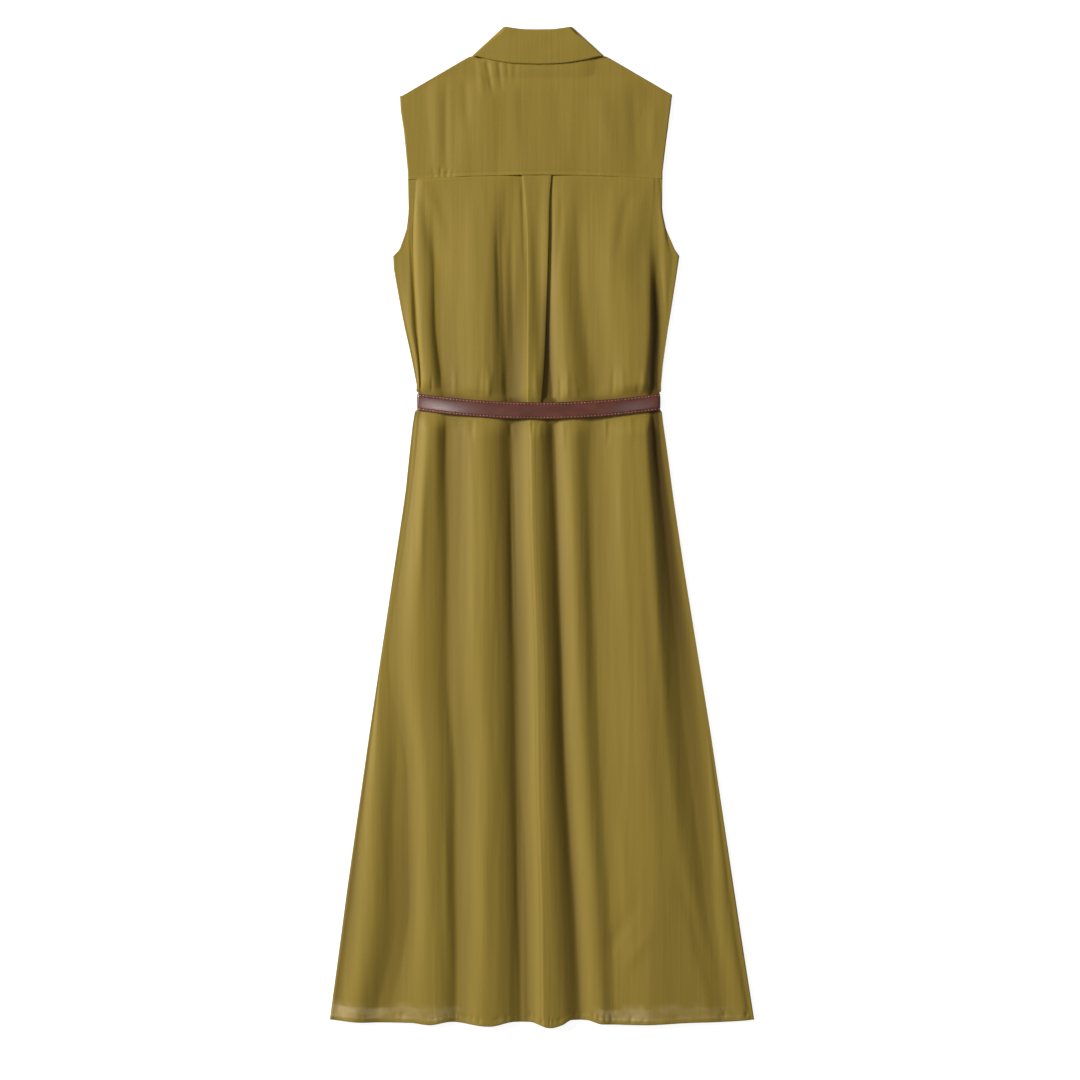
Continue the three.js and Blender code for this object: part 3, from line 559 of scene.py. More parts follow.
def turned_edge(degrees, run, radius, drop):
    """Arc up by the angle, a straight run, and the arc back: foot to crest of a fold. The
    run is cut short where the whole would be higher than the drop."""
    angle = np.radians(degrees)
    arcs = 2 * radius * (1 - np.cos(angle))
    run = np.clip((drop - arcs) / np.maximum(np.sin(angle), 0.05), 0.2, run)[:, None]
    angle, radius = angle[:, None], radius[:, None]
    a = angle * np.linspace(0, 1, TURN_COLUMNS)[None, :]
    x0, z0 = radius * np.sin(a), radius * (1 - np.cos(a))
    b = a[:, ::-1]
    x1 = x0[:, -1:] + run * np.cos(angle) + radius * (np.sin(angle) - np.sin(b))
    z1 = z0[:, -1:] + run * np.sin(angle) + radius * (np.cos(b) - np.cos(angle))
    return np.concatenate([x0, x1], axis=1), np.concatenate([z0, z1], axis=1)


# Each span of the length: its first place, its last place and its number of rows
ROW_SPANS = [
    (438, 400, 10), (400, 346, 6), (346, 338, 2), (338, 212, 15), (212, 172, 11),
    (172, 128, 24), (128, 90, 11), (90, -500, 54), (-500, -598, 13), (-598, -618, 14),
]


def back_rows():
    """Row places v: close together at the seam, the belt and the hem."""
    spans = [np.linspace(a, b, n, endpoint=False) for a, b, n in ROW_SPANS]
    return np.concatenate(spans + [[HEM_Y]])


def soften(values, places, times=5):
    """Each point moves half way to the straight line between its two neighbours."""
    step = np.abs(np.diff(places, axis=1)) + 0.02
    share = step[:, :-1] / (step[:, :-1] + step[:, 1:])
    for _ in range(times):
        chord = mix(values[:, :-2], values[:, 2:], share)
        values[:, 1:-1] = (values[:, 1:-1] + chord) / 2
    return values


def back_sections(v):
    pleat = {name: curve(PLEAT["v"], PLEAT[name], v) for name in PLEAT if name != "v"}
    left_x, left_z = turned_edge(pleat["turnL"], pleat["runL"], pleat["radius"],
                                 pleat["leftZ"] - PLEAT_FOOT)
    right_x, right_z = turned_edge(pleat["turnR"], pleat["runR"], pleat["radius"],
                                   pleat["rightZ"] - PLEAT_FOOT)
    foot_left = pleat["left"] - left_x[:, -1]
    foot_right = pleat["right"] + right_x[:, -1]
    left_foot_z = pleat["leftZ"] - left_z[:, -1]
    right_foot_z = pleat["rightZ"] - right_z[:, -1]
    base = np.full_like(v, LAYER + HALF)
    base_left = LAYER + HALF + 1.2 * smooth((430 - v) / 40) * smooth((v - 215) / 60)
    none = np.zeros_like(v)
    lipped = smooth((v - 210) / 40)
    side_left, side_right = edge("left", v), edge("right", v)
    box = waves([
        (pleat["left"], pleat["leftZ"]),
        (pleat["dip"], pleat["dipZ"], BOX_COLUMNS, "slide", none, lipped),
        (pleat["right"], pleat["rightZ"], BOX_COLUMNS, "slide", none, lipped)])
    left = waves([(side_left, base_left), *fold_lines(LEFT_FOLDS, v, side_left),
                  (foot_left, left_foot_z, FOOT_COLUMNS, "slide", none, none)])
    inner, *outer = fold_lines(RIGHT_FOLDS, v, side_right)
    valley_x = np.maximum(inner[0], foot_right + 1.5)
    right = waves([(foot_right, right_foot_z),
                   (valley_x, inner[1], VALLEY_COLUMNS, "slide", none, none), *outer,
                   (side_right, base, SIDE_COLUMNS, "wave", none, none)])
    xs = [left[0], foot_left[:, None] + left_x[:, 1:-1], box[0],
          foot_right[:, None] - right_x[:, -2:0:-1], right[0]]
    zs = [left[1], left_foot_z[:, None] + left_z[:, 1:-1], box[1],
          right_foot_z[:, None] + right_z[:, -2:0:-1], right[1]]
    x, z = np.concatenate(xs, axis=1), np.concatenate(zs, axis=1)
    return x, soften(z, x)

# %% [markdown]
# Between the large folds lie the creases that make cloth look laid by hand: a slanting one
# below each armhole, short puckers where the belt gathers the cloth, fine streaks down the
# length, and small puckers at the hem's stitching. Each is a soft line with its own place.

# %% Creases of the back
# Each crease: x and y of its upper end, x and y of its lower end, width and height
BACK_CREASES = [
    (-25.9, 452, -20.6, 300, 1.5, -1.1),
    (-154, 430, -128, 300, 7, -1.3),
    (-140, 425, -118, 340, 6, 0.7),
    (-58, 400, -50, 190, 3.5, -0.9),
    (-46, 380, -43, 180, 3.0, 0.7),
    (-38, 400, -37, 200, 2.6, -0.7),
    (-88, 420, -84, 250, 8, 0.6),
    (26, 425, 18, 300, 4.5, -0.8),
    (46, 410, 48, 250, 6, -0.7),
    (108, 425, 92, 320, 6, -1.1),
    (124, 428, 118, 330, 6, 0.7),
    (86, 380, 88, 200, 7, 0.6),
    (-146, 120, -152, -120, 5, 0.8),
    (-86, 130, -84, -200, 6, 0.6),
    (-36, 110, -38, -220, 4, -0.8),
    (55, 120, 62, -160, 5, -0.7),
    (96, 120, 108, -180, 7, 0.7),
    (122, 130, 156, -260, 7, 0.8),
    (-180, -260, -196, -560, 9, -0.9),
    (-120, -330, -116, -600, 7, 0.7),
    (-28, -300, -22, -600, 6, -0.8),
    (92, -320, 118, -600, 8, 0.7),
    (170, -420, 214, -600, 8, -1.2),
    (200, -380, 240, -590, 9, 0.9),
    (-238, -470, -250, -606, 6, 0.6),
    (78, -540, 128, -452, 8, -1.0),
    (96, -560, 146, -490, 7, 0.8),
]


def belt_puckers(count=34, seed=11):
    """Short ridges and troughs on both sides of the belt, of uneven length and depth."""
    rng = np.random.default_rng(seed)
    x = rng.uniform(-146, 140, count)
    above = rng.random(count) < 0.5
    length = rng.uniform(22, 55, count)
    width = rng.uniform(1.8, 4.0, count)
    height = rng.uniform(0.35, 0.9, count) * rng.choice([-1, 1], count)
    start = belt_y(x) + np.where(above, 9.0, -9.0)
    end = start + np.where(above, length, -length)
    lean = rng.uniform(-3, 3, count)
    return list(zip(x, start, x + lean, end, width, height))


def hem_puckers(count=90, seed=23):
    """Tiny slanting troughs across the hem's row of stitches."""
    rng = np.random.default_rng(seed)
    x = rng.uniform(-258, 258, count)
    y = hem_line(x)
    lean = rng.uniform(-2.5, 2.5, count)
    reach = rng.uniform(9, 17, count)
    width = rng.uniform(0.9, 1.8, count)
    height = -rng.uniform(0.3, 0.65, count)
    return list(zip(x, y + 1.5, x + lean, y + reach, width, height))


def ripples(x, y):
    """Fine streaks down the length: three layers of noise in long narrow cells."""
    return (0.30 * value_noise(x, y, 17, 160, 1) + 0.15 * value_noise(x, y, 6.5, 95, 2)
            + 0.07 * value_noise(x, y, 3.4, 60, 3))


FOLD_LOW, FOLD_HIGH, PRESS_ABOVE, PRESS_BELOW = 2.4, 14.6, 17.0, 26.0
HEM_TURN, HEM_STITCH, SHEER_TOP = 8.0, 7.0, 22.5


def press_by_belt(x, y, z, beside):
    """Crests sink to the belt's underside and grow flat; valleys keep their depth. A height
    becomes a share from 0 to 1 of the fold, and the share to a power below 1."""
    reach = np.where(y > belt_y(x), PRESS_ABOVE, PRESS_BELOW)
    away = smooth(beside / reach)
    high = FOLD_HIGH - 2.6 * np.minimum(1, np.abs(x - BELT_X) / BELT_HALF) ** 3
    share = np.clip((z - FOLD_LOW) / (high - FOLD_LOW), 0, 1)
    low = np.minimum(z, FOLD_LOW)
    top = mix(belt_press(x), high, away)
    near = low + (top - low) * share ** mix(0.62, 1.0, away)
    return np.where(beside < reach, near, z)


def back_points():
    v = back_rows()
    x, z = back_sections(v)
    y = row_y(v[:, None], x, hem_line(x))
    from_side = np.minimum(x - edge("left", y), edge("right", y) - x)
    beside = np.abs(y - belt_y(x)) - BELT_WIDTH / 2
    free = smooth((beside - 1.5) / 12)
    loose = smooth(from_side / 14) * free * smooth((SEAM_Y + 4 - y) / 30)
    z = press_by_belt(x, y, z, beside)
    detail = ripples(x, y) + creases(x, y, BACK_CREASES)
    z = z + detail * loose
    z = z + creases(x, y, belt_puckers()) * smooth(from_side / 8) * smooth(free * 3)
    to_hem = y - hem_line(x)
    stitches = 0.6 * np.exp(-(((to_hem - HEM_STITCH) / 0.9) ** 2))
    turned = smooth((HEM_TURN - to_hem) / 1.5) - stitches
    z = z + 0.35 * turned + creases(x, y, hem_puckers()) * smooth(from_side / 6)
    z = np.maximum(z, above_fronts(x, y) - 0.1)
    return np.stack([x, y, z], axis=2)


def sheerness(x, y):
    """How far the single cloth lets light through: a ragged band above the turned hem."""
    to_hem = y - hem_line(x)
    upper = (SHEER_TOP + 3.0 * value_noise(x, 0 * y, 24, 9, 8)
             + 1.5 * value_noise(x, 0 * y, 7, 9, 13))
    band = smooth((to_hem - 3.5) / 2.5) * smooth((upper - to_hem) / 4)
    left = 0.5 * smooth((-96 - x) / 24) + 0.4 * smooth((-186 - x) / 34)
    right = 0.42 * smooth((x - 58) / 20) + 0.3 * smooth((x - 62) / 16) * smooth((150 - x) / 50)
    right *= smooth((258 - x) / 60)
    ragged = 0.72 + 0.4 * value_noise(x, y, 13, 8, 9) + 0.22 * value_noise(x, y, 4, 4, 10)
    return np.clip(band * np.maximum(left, right) * ragged, 0, 1)


def paint(piece, name, values):
    layer = piece.data.attributes.new(name, "FLOAT", "POINT")
    layer.data.foreach_set("value", values.astype(np.float32).ravel())


def fold_depth(x, z):
    """How deep a point lies below the crests beside it: 0 on a crest, 1 at 8 mm or more."""
    rows = z.copy()
    for reach in (3, 6, 9, 12, 15):
        rows[:, reach:] = np.maximum(rows[:, reach:], z[:, :-reach] - 0.1 * reach)
        rows[:, :-reach] = np.maximum(rows[:, :-reach], z[:, reach:] - 0.1 * reach)
    return soften(np.clip((rows - z - 2.0) / 6.0, 0, 1), x, 4)


# Painted shade lines in the deepest gaps: x and y of both ends, width and strength
PAINTED_GAP_SHADE = [
    (139.5, 372, 141.5, 20, 6.5, 0.9),
    (140, 190, 178, -260, 9, 0.45),
    (3.5, 330, 8, 40, 6.5, 0.8),
    (-37, 330, -34, 60, 10, 0.5),
]


def shaded(x, y):
    """How much painted shade darkens the cloth, 0 to 1: by the depth of its folds, in the few
    deepest gaps, and as a painted shadow where it goes in under the strap."""
    above = y - belt_y(x) - BELT_WIDTH / 2
    # Painted shadow along the strap's upper edge, where the cloth goes in under it
    painted_strap_shadow = 0.4 * smooth((8.0 - above) / 8.0) * (above > -6)
    # Painted shade in the folds: darker the deeper a point lies below the crests beside it
    folds = 0.6 * fold_depth(*back_sections(back_rows()))
    return np.clip(folds + painted_strap_shadow + creases(x, y, PAINTED_GAP_SHADE), 0, 1)


back_grid = back_points()
back = sheet_object("back_cloth", back_grid)
# The depth attribute holds painted shade, which the crepe mixes into its colour
paint(back, "depth", shaded(back_grid[..., 0], back_grid[..., 1]))
paint(back, "sheer", sheerness(back_grid[..., 0], back_grid[..., 1]))
back.data.materials.append(crepe_cloth)

# %% [markdown]
# ## The yoke
# The yoke lies over both shoulder blades. Its lower edge laps a little over the back's top
# edge, as it does where it is stitched down, so that the seam shows as a fine step.

# %% Yoke
BACK_TOP = {
    "d": [0, 35, 60, 72, 77, 82, 87, 92, 170],
    "y": [NECK_Y - 0.6, NECK_Y - 0.1, NECK_Y + 0.2, NECK_Y + 0.6, 586.6, 587.8, 586.4, 583.6,
          SHOULDER_Y],
}
YOKE_CROWN, YOKE_OVER_PLEAT, YOKE_BY_COLLAR, YOKE_LAP = 3.6, 1.3, 3.2, 0.5
YOKE_CREASES = [
    (-120.5, 576, -120, 400, 5, -0.85),
    (-134, 576, -131, 415, 8, 0.9),
    (-110, 572, -109, 420, 6, -0.45),
    (-68, 572, -76, 425, 26, 1.8),
    (-97, 566, -94, 490, 6, -0.9),
    (-160, 536, -154, 470, 4, -0.6),
    (-72, 600, -60, 530, 2.6, -1.2),
    (-80, 600, -73, 528, 3.6, 0.8),
    (-56, 600, -50, 540, 2.4, -0.9),
    (-44, 600, -42, 548, 2.2, -0.6),
    (-33, 600, -34, 545, 2.2, -0.5),
    (-36, 566, -32, 446, 9, 0.6),
    (72, 552, 88, 446, 11, 0.9),
    (112, 560, 124, 440, 9, -0.8),
    (140, 536, 138, 446, 6, 0.6),
    (20, 560, 26, 450, 10, -0.4),
    (-134, 434, -137, 450, 1.5, -0.9),
    (-127, 434, -126, 452, 1.3, -1.0),
    (-120, 434, -117, 449, 1.6, -0.8),
    (-112, 434, -111, 446, 1.3, -0.5),
]


def shoulder_top(d):
    return line(BACK_TOP, "d", "y", np.abs(d))


def collar_edge(x):
    """Lower edge of the turned-down collar, a shallow arc."""
    return 577.3 + 11.2 * (np.abs(x - NECK_X) / 82) ** 2.3


def yoke_height(x, y):
    """Level with the back's folds at the seam, low at the armholes and under the collar."""
    from_edge = np.minimum(x - edge("left", y), edge("right", y) - x)
    out = np.abs(x - NECK_X)
    crown = YOKE_CROWN * smooth(from_edge / 70) * (1 - smooth((y - 542) / 36))
    over_pleat = YOKE_OVER_PLEAT * smooth((52 - out) / 30) * smooth((530 - y) / 80)
    near_neck = LAYER * smooth((y - 500) / 40)
    by_collar = YOKE_BY_COLLAR * smooth((y - 545) / 28) * smooth((88 - out) / 36)
    under = smooth((y - collar_edge(x) - 1) / 4)
    raised = np.maximum(np.maximum(crown + over_pleat, near_neck), by_collar * (1 - under))
    return np.maximum(LAYER + HALF + raised, above_fronts(x, y))


def yoke_points(columns=190, rows=120):
    """u runs from armhole to armhole and t from the seam to the shoulder and neck."""
    u = np.linspace(-1, 1, columns)[None, :]
    t = np.linspace(0, 1, rows)[:, None] ** 1.15
    v = mix(SEAM_Y, SHOULDER_Y, t)
    outer = np.where(u < 0, -edge("left", v) + NECK_X, edge("right", v) - NECK_X)
    x = NECK_X + u * outer
    seam = row_y(SEAM_Y, x, HEM_Y) - YOKE_LAP
    y = mix(seam, shoulder_top(x - NECK_X), t)
    z = yoke_height(x, y)
    from_edge = np.minimum(x - edge("left", y), edge("right", y) - x)
    inside = smooth(from_edge / 9) * smooth((shoulder_top(x - NECK_X) - y) / 7)
    z = z + (0.5 * ripples(x + 300, y) + creases(x, y, YOKE_CREASES)) * inside
    to_seam = y - seam
    stitched = -0.35 * np.exp(-(((to_seam - 5.0) / 0.8) ** 2))
    z = z + stitched + 0.55 * smooth((3.5 - to_seam) / 2.5)
    return np.stack([x + 0 * z, y + 0 * z, np.maximum(z, above_fronts(x, y) - 0.1)], axis=2)


yoke = sheet_object("yoke_cloth", yoke_points(), flip=True)
yoke.data.materials.append(crepe_cloth)

# %% [markdown]
# ## The fronts
# The fronts lie underneath, on the floor, and only the underside shows them. The right one
# closes over the left one, so here it is the lower one. The strip under the buttons is raised,
# and a row of stitches runs along it.

# %% Fronts
FRONT_COLUMNS = [92, 77, 70, 60, 45, 31, 26, 20, 15, 0, -15]
FRONT_BREAK, FRONT_TOP_ROWS, FRONT_HEM_UP = 502.0, 24, 4.0


def front_neck(d):
    t = np.minimum(1, np.abs(d) / NECK_HALF)
    return mix(FRONT_NECK_Y, NECK_Y + 2, 1 - np.sqrt(1 - t * t))


def front_points(side, rows=150):
    """Columns by distance from the neck's middle, rows from the hem to neck and shoulder."""
    name = "left" if side < 0 else "right"
    v = np.concatenate([np.linspace(HEM_Y, FRONT_BREAK, rows - FRONT_TOP_ROWS, endpoint=False),
                        np.linspace(FRONT_BREAK, SHOULDER_Y, FRONT_TOP_ROWS)])
    spans = zip(FRONT_COLUMNS[:-1], FRONT_COLUMNS[1:])
    steps = np.concatenate([np.linspace(a, b, 5, endpoint=False) for a, b in spans]
                           + [FRONT_COLUMNS[-1:]])
    outer = np.abs(edge(name, v) - NECK_X) - 0.4
    spread = mix(outer[:, None], FRONT_COLUMNS[0], np.linspace(0, 1, 34, endpoint=False)[None, :])
    d = np.concatenate([spread, np.broadcast_to(steps, (len(v), len(steps)))], axis=1)
    x = NECK_X + side * d
    hem = HEM_Y + FRONT_HEM_UP
    top = np.where(d >= NECK_HALF, shoulder_top(d), front_neck(d) - 0.6)
    t = (v[:, None] - FRONT_BREAK) / (SHOULDER_Y - FRONT_BREAK)
    y = np.where(t > 0, mix(row_y(FRONT_BREAK, x, hem), top, t), row_y(v[:, None], x, hem))
    z = front_height(side, x, y)
    s = (x - FRONT_X) * side
    stitch = 0.25 * np.exp(-(((s - LAP_HALF + 3) / 0.9) ** 2)) * (side > 0)
    return np.stack([x, y, z + stitch], axis=2)


fronts = {}
for side, name in ((-1, "front_left"), (1, "front_right")):
    fronts[name] = sheet_object(name + "_cloth", front_points(side), flip=side > 0)
    fronts[name].data.materials.append(crepe_cloth)

# %% [markdown]
# ## The collar
# The collar is a flattened ring round the neck. Its back part is the turned-down fall that
# shows, and at the two side creases it turns round to the front leaves underneath. The stand
# is a second ring inside it.

# %% Collar and stand
COLLAR_BACK = [(0, 621, 0, 577.3), (16, 621.2, 27, 578.2), (32, 623, 54, 581.8),
               (42.5, 624.7, 82, 588.5)]
COLLAR_FRONT = [(34, 614, 74, 570), (22, 598, 64, 546), (2.5, 575, 53, 522)]
STAND_BACK = [(0, 616, 0, NECK_Y), (20, 616.4, 35, NECK_Y + 0.5),
              (38, 618, NECK_HALF, NECK_Y + 2)]
STAND_FRONT = [(mix(2.5, 38, d / NECK_HALF), mix(573, 617, d / NECK_HALF), d,
                float(front_neck(d))) for d in (60, 45, 31, 15, 2.5)]
COLLAR_COLUMNS, STAND_COLUMNS, COLLAR_CLOTH = 26, 16, 0.9


def neck_ring(back, front, back_z, front_z, across, along=16, bend=10):
    """Rows go round the ring, columns from its upper edge to its lower edge. At a crease the
    ring follows a half circle between its two levels."""
    radius = (back_z - front_z) / 2
    crease = np.array(back[-1], float)
    run = np.array([crease[2] - crease[0], crease[3] - crease[1]])
    run /= np.linalg.norm(run)
    back, front = np.array(back, float), np.array(front, float)

    def resampled(table, first, last):
        k = np.arange(len(table))
        at = np.linspace(first, last, along)
        return np.stack([curve(k, table[:, i], at) for i in range(4)], axis=1)

    upper = resampled(back, 0, len(back) - 1)[:-1]
    lower = resampled(np.vstack([back[-1:], front]), 0, len(front))[1:]
    a = np.linspace(0, np.pi, bend)
    turn = np.repeat(crease[None, :], bend, axis=0)
    out = np.concatenate([np.zeros(len(upper)), radius * np.sin(a) - radius - HALF,
                          np.zeros(len(lower))])
    z = np.concatenate([np.full(len(upper), back_z), mix(front_z, back_z, (1 + np.cos(a)) / 2),
                        np.full(len(lower), front_z)])
    rows = np.concatenate([upper, turn, lower])
    u = np.linspace(0, 1, across)[None, :]
    d = mix(rows[:, 0:1], rows[:, 2:3], u) - run[1] * out[:, None]
    y = mix(rows[:, 1:2], rows[:, 3:4], u) + run[0] * out[:, None]
    half = np.stack([d, y, z[:, None] + 0 * d], axis=2)
    left, right = half[::-1].copy(), half[1:].copy()
    left[..., 0] = NECK_X - left[..., 0]
    right[..., 0] = NECK_X + right[..., 0]
    return np.concatenate([left, right])


def collar_points():
    """The ring, with a softly rounded fold along the top and a slight roll in the fall."""
    ring = neck_ring(COLLAR_BACK, COLLAR_FRONT, 3 * LAYER + HALF, HALF, across=COLLAR_COLUMNS)
    u = np.linspace(0, 1, COLLAR_COLUMNS)[None, :]
    level = smooth((ring[..., 2] - HALF) / (3 * LAYER))
    uneven = 0.25 * value_noise(ring[..., 0], ring[..., 1], 24, 14, 31)
    swell = 2.3 * u + 0.9 * np.sin(np.pi * u) + uneven
    at_ends = smooth((np.abs(ring[..., 0] - NECK_X) - 36) / 44)
    ring[..., 2] += swell * level * (1 - 0.35 * at_ends)
    return ring


stand_ring = neck_ring(STAND_BACK, STAND_FRONT, 2 * LAYER + HALF, LAYER + HALF,
                       across=STAND_COLUMNS)
collar = sheet_object("collar_cloth", collar_points(), thickness=COLLAR_CLOTH, flip=True)
stand = sheet_object("collar_stand_cloth", stand_ring, flip=True)
for piece in (collar, stand):
    piece.data.materials.append(crepe_cloth)

# %% [markdown]
# ## The belt
# The strap is a profile carried along a path: from the buckle round the left side, over the
# back, round the right side and through the buckle to the tip. The profile has rounded edges
# and a shallow groove where each row of stitches sits.

# %% Strap path
STITCH_LINE = 0.80


def strap_path():
    """Middle line of the strap as x and z, from the end at the buckle to the tip."""
    side_x = BELT_HALF - 0.2
    low = BELT_THICK / 2
    back_z = BELT_SIDE + HALF + GAP + low
    radius = (back_z - low) / 2
    inner = BELT_THICK * 1.5 + GAP
    a = np.linspace(0, np.pi, 13)
    s_back = np.linspace(-side_x, side_x, 151)[1:-1]
    start = [(-18.6, inner), (-40, inner), (-60, inner), (-80, inner), (-96, inner), (-101, 2.75),
             (-106, 2.1), (-111, 1.3), (-115, low), (-132, low)]
    turn_left = np.stack([-side_x - radius * np.sin(a), low + radius * (1 - np.cos(a))], axis=1)
    over = np.stack([s_back, belt_press(BELT_X + s_back) + HALF + GAP + low], axis=1)
    turn_right = np.stack([side_x + radius * np.sin(a), back_z - radius * (1 - np.cos(a))], axis=1)
    raised = low + BUCKLE_BAR + GAP
    end = [(120, low), (90, low), (60, low), (44, low), (37, 2.25), (30, raised), (16, raised),
           (5, 2.25), (-6, low), (-30, low), (-60, low), (-84, low), (-91, low)]
    path = np.vstack([start, turn_left, over, turn_right, end])
    path[:, 0] += BELT_X
    return path


def strap_profile():
    """Half width w and height h round the strap, from -1 to 1: an ellipse of high power,
    pressed in where the stitches run."""
    a = np.linspace(0, 2 * np.pi, 64, endpoint=False)
    power = 0.4
    w = np.sign(np.cos(a)) * np.abs(np.cos(a)) ** power
    h = np.sign(np.sin(a)) * np.abs(np.sin(a)) ** power
    groove = 0.3 * np.exp(-(((np.abs(w) - STITCH_LINE) / 0.05) ** 2))
    crown = 1 + 0.3 * (1 - w * w) * (h > 0)
    return w * BELT_WIDTH / 2, h * (1 - groove) * crown * (BELT_THICK / 2 - 0.1)


def square_to(along):
    """The unit direction of each row and the direction a quarter turn from it."""
    along = along / np.linalg.norm(along, axis=1, keepdims=True)
    return along, np.stack([-along[:, 1], along[:, 0]], axis=1)


def strap_object():
    path = strap_path()
    w, h = strap_profile()
    across = square_to(np.gradient(path, axis=0))[1]
    taper = np.ones(len(path))
    taper[-1] = 0.55
    x = path[:, 0:1] + across[:, 0:1] * h
    z = path[:, 1:2] + across[:, 1:2] * h
    y = belt_y(path[:, 0:1]) + w * taper[:, None]
    rings = np.stack([x, y, z], axis=2)
    n, m = rings.shape[:2]
    r, c = np.meshgrid(np.arange(n - 1), np.arange(m), indexing="ij")
    a, b = (r * m + c).ravel(), (r * m + (c + 1) % m).ravel()
    faces = np.stack([a, b, b + m, a + m], axis=1).tolist()
    faces += [list(range(m))[::-1], list(range((n - 1) * m, n * m))]
    return mesh_object("belt_strap_leather", rings, faces)


belt_strap = strap_object()
belt_strap.data.materials.append(belt_leather)
print("strap points", len(belt_strap.data.vertices))

# %% [markdown]
# Each stitch is a small grain of thread lying in the groove. One grain is worked out once,
# and arrays repeat it along both edges of the strap, so a few hundred stitches are one mesh.

# %% Stitches of the belt
STITCH_PITCH, STITCH_LENGTH, STITCH_THICK = 4.2, 1.9, 0.5


def grain(sides=6, rings=4):
    """A capsule: sine-thick rings along its length, with a point at each end."""
    t = np.linspace(0.12, 0.88, rings)
    a = np.linspace(0, 2 * np.pi, sides, endpoint=False)
    reach = STITCH_THICK * np.sin(np.pi * t) ** 0.5
    body = np.stack([np.repeat(t - 0.5, sides) * STITCH_LENGTH,
                     (reach[:, None] * np.cos(a)).ravel(),
                     (reach[:, None] * np.sin(a)).ravel()], axis=1)
    tips = np.array([[-0.5 * STITCH_LENGTH, 0, 0], [0.5 * STITCH_LENGTH, 0, 0]])
    faces = [[k * sides + i, k * sides + (i + 1) % sides, (k + 1) * sides + (i + 1) % sides,
              (k + 1) * sides + i] for k in range(rings - 1) for i in range(sides)]
    first, last = rings * sides, rings * sides + 1
    end = (rings - 1) * sides
    faces += [[first, (i + 1) % sides, i] for i in range(sides)]
    faces += [[last, end + i, end + (i + 1) % sides] for i in range(sides)]
    return np.vstack([body, tips]), faces


def stitches_object():
    """A grain at each place along the path, on both edges of the strap."""
    path = strap_path()
    step = np.linalg.norm(np.diff(path, axis=0), axis=1)
    length = np.concatenate([[0], np.cumsum(step)])
    places = np.arange(4, length[-1] - 6, STITCH_PITCH)

    def on_path(at):
        return np.stack([np.interp(at, length, path[:, 0]), np.interp(at, length, path[:, 1])],
                        axis=1)

    centre = on_path(places)
    along, across = square_to(on_path(places + 0.5) - centre)
    body, faces = grain()
    middle = centre + across * (BELT_THICK / 2 - 0.3)
    spread = along[:, None, :] * body[:, 0:1] + across[:, None, :] * body[:, 2:3]
    px, pz = np.moveaxis(middle[:, None, :] + spread, 2, 0)
    points = []
    for wide in (-STITCH_LINE, STITCH_LINE):
        y = belt_y(centre[:, 0]) + wide * BELT_WIDTH / 2
        points.append(np.stack([px, y[:, None] + body[:, 1], pz], axis=2).reshape(-1, 3))
    count = 2 * len(places)
    all_faces = [[k + n * len(body) for k in face] for n in range(count) for face in faces]
    print("stitches", count)
    return mesh_object("belt_stitches", np.concatenate(points), all_faces)


belt_stitches = stitches_object()
belt_stitches.data.materials.append(belt_thread)

# %% [markdown]
# ## Hard pieces
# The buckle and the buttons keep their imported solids, which have the right shape and lie
# underneath. They only get their finish.

# %% Buckle and buttons
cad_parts["belt_buckle"].data.materials.clear()
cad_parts["belt_buckle"].data.materials.append(buckle_brass)
for name in BUTTONS:
    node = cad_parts[name]
    node.data.materials.clear()
    node.data.materials.append(button_horn)

# %% [markdown]
# ## Rides
# Nothing on the dress has a joint, so every piece rides on the one body. Each fine piece
# stands for its solid, which is hidden.

# %% Each piece rides on the body, and its solid is hidden
PIECES = [
    (back, "back", "dress_crepe", (0.555, 1.075), 0.434),
    (yoke, "yoke", "dress_crepe", (0.345, 0.155), 0.046),
    (fronts["front_left"], "front_left", "dress_crepe", (0.285, 1.205), 0.245),
    (fronts["front_right"], "front_right", "dress_crepe", (0.29, 1.205), 0.247),
    (collar, "collar", "dress_crepe", (0.345, 0.075), 0.0143),
    (stand, "collar_stand", "dress_crepe", (0.31, 0.05), 0.0092),
]
for piece, node, slot, flat, area in PIECES:
    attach(piece, "root")
    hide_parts(node)

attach(belt_strap, "root")
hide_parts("belt_strap")
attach(belt_stitches, "root")

# %% [markdown]
# ## Camera, floor and light
# The photo looks straight down with a long lens. Soft light comes from the upper left, so a
# slope that faces left is bright and one that faces right is dark, and a wide weak light
# overhead fills the shadows.

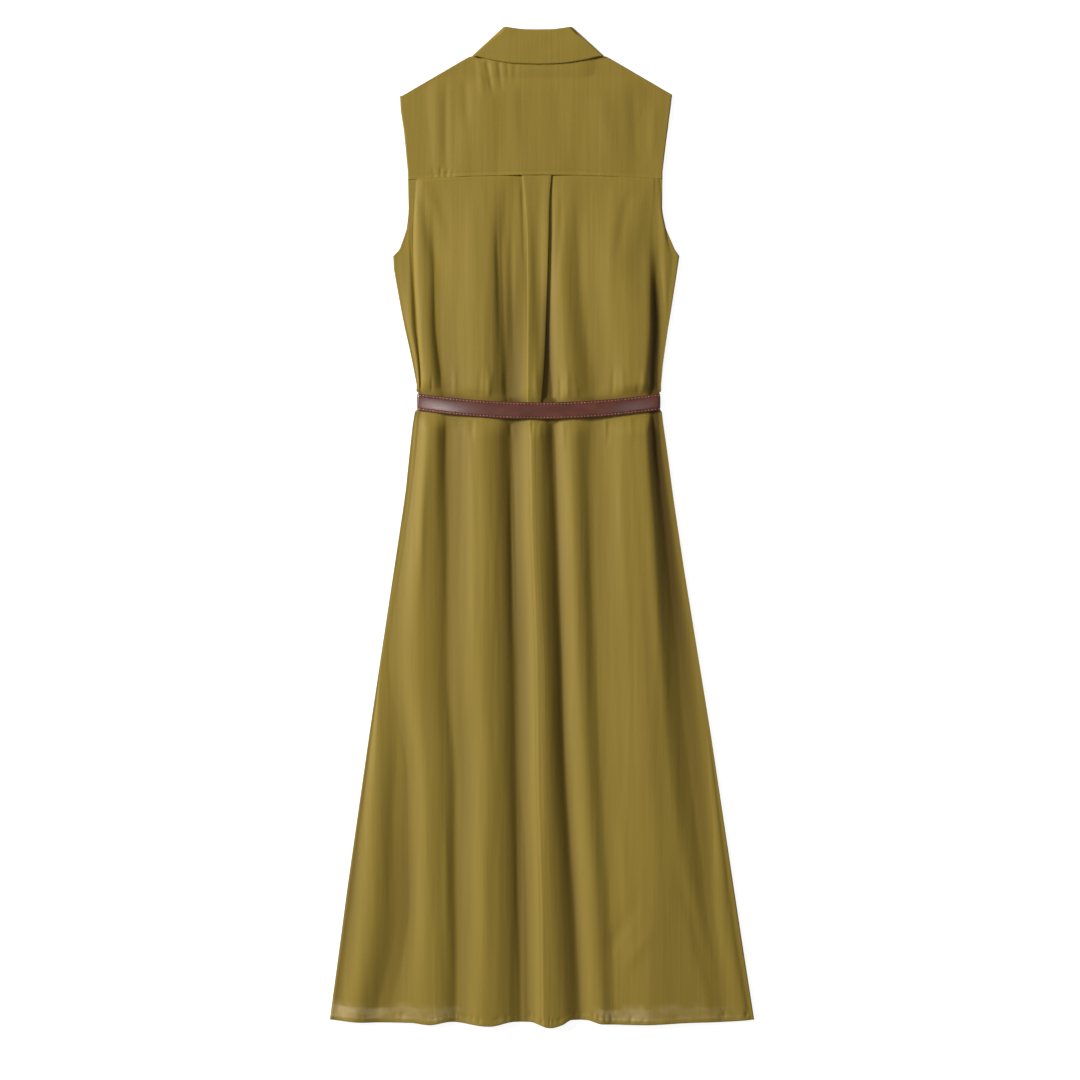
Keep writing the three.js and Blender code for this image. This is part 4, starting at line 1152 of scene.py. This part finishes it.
# %% Camera
PHOTO_MM = 1350.0
PHOTO_CENTRE = (-2.5, -16.6)
LENS, SENSOR = 100.0, 36.0
height = PHOTO_MM * MM * LENS / SENSOR
camera_data = bpy.data.cameras.new("camera")
camera_data.lens = LENS
camera_data.sensor_width = SENSOR
camera = bpy.data.objects.new("camera", camera_data)
camera.location = (PHOTO_CENTRE[0] * MM, PHOTO_CENTRE[1] * MM, height)
bpy.context.scene.collection.objects.link(camera)
bpy.context.scene.camera = camera

# %% Floor
FLOOR_REACH, FLOOR_Z = 6000.0, -0.4
corners = np.array([(-1, -1, 0), (1, -1, 0), (1, 1, 0), (-1, 1, 0)]) * FLOOR_REACH
floor = mesh_object("floor", corners + [0, 0, FLOOR_Z], [[0, 1, 2, 3]])
pale = Finish("floor_pale", Roughness=0.9)
pale.set("Base Color", (0.4, 0.4, 0.4, 1))
pale.set("Emission Color", (1, 1, 1, 1))
pale.set("Emission Strength", 0.85)
floor.data.materials.append(pale.material)
floor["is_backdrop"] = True

# %% Lights
def area_light(name, azimuth, elevation, distance, size, power):
    """A square lamp that looks at the dress: azimuth anticlockwise from +X, in degrees."""
    data = bpy.data.lights.new(name, "AREA")
    data.shape = "SQUARE"
    data.size = size
    data.energy = power
    lamp = bpy.data.objects.new(name, data)
    a, e = math.radians(azimuth), math.radians(elevation)
    towards = Vector((math.cos(a) * math.cos(e), math.sin(a) * math.cos(e), math.sin(e)))
    lamp.location = towards * distance
    lamp.rotation_euler = (-towards).to_track_quat("-Z", "Y").to_euler()
    bpy.context.scene.collection.objects.link(lamp)
    return lamp


area_light("key", 158, 32, 6.0, 1.6, 600)
area_light("gloss", 170, 75.5, 3.4, 0.35, 13)
area_light("gloss_right", 12, 76, 3.4, 0.35, 3)
world = bpy.data.worlds.new("studio")
world.use_nodes = True
world.node_tree.nodes["Background"].inputs["Color"].default_value = (1, 1, 1, 1)
world.node_tree.nodes["Background"].inputs["Strength"].default_value = 0.16
bpy.context.scene.world = world
bpy.context.scene.view_settings.view_transform = "Standard"

# %% Print the sizes of the solids and of the visual model
size = {"cad": [list(corner) for corner in cad_box],
        "visual": [list(corner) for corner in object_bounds()]}
print("size", size)
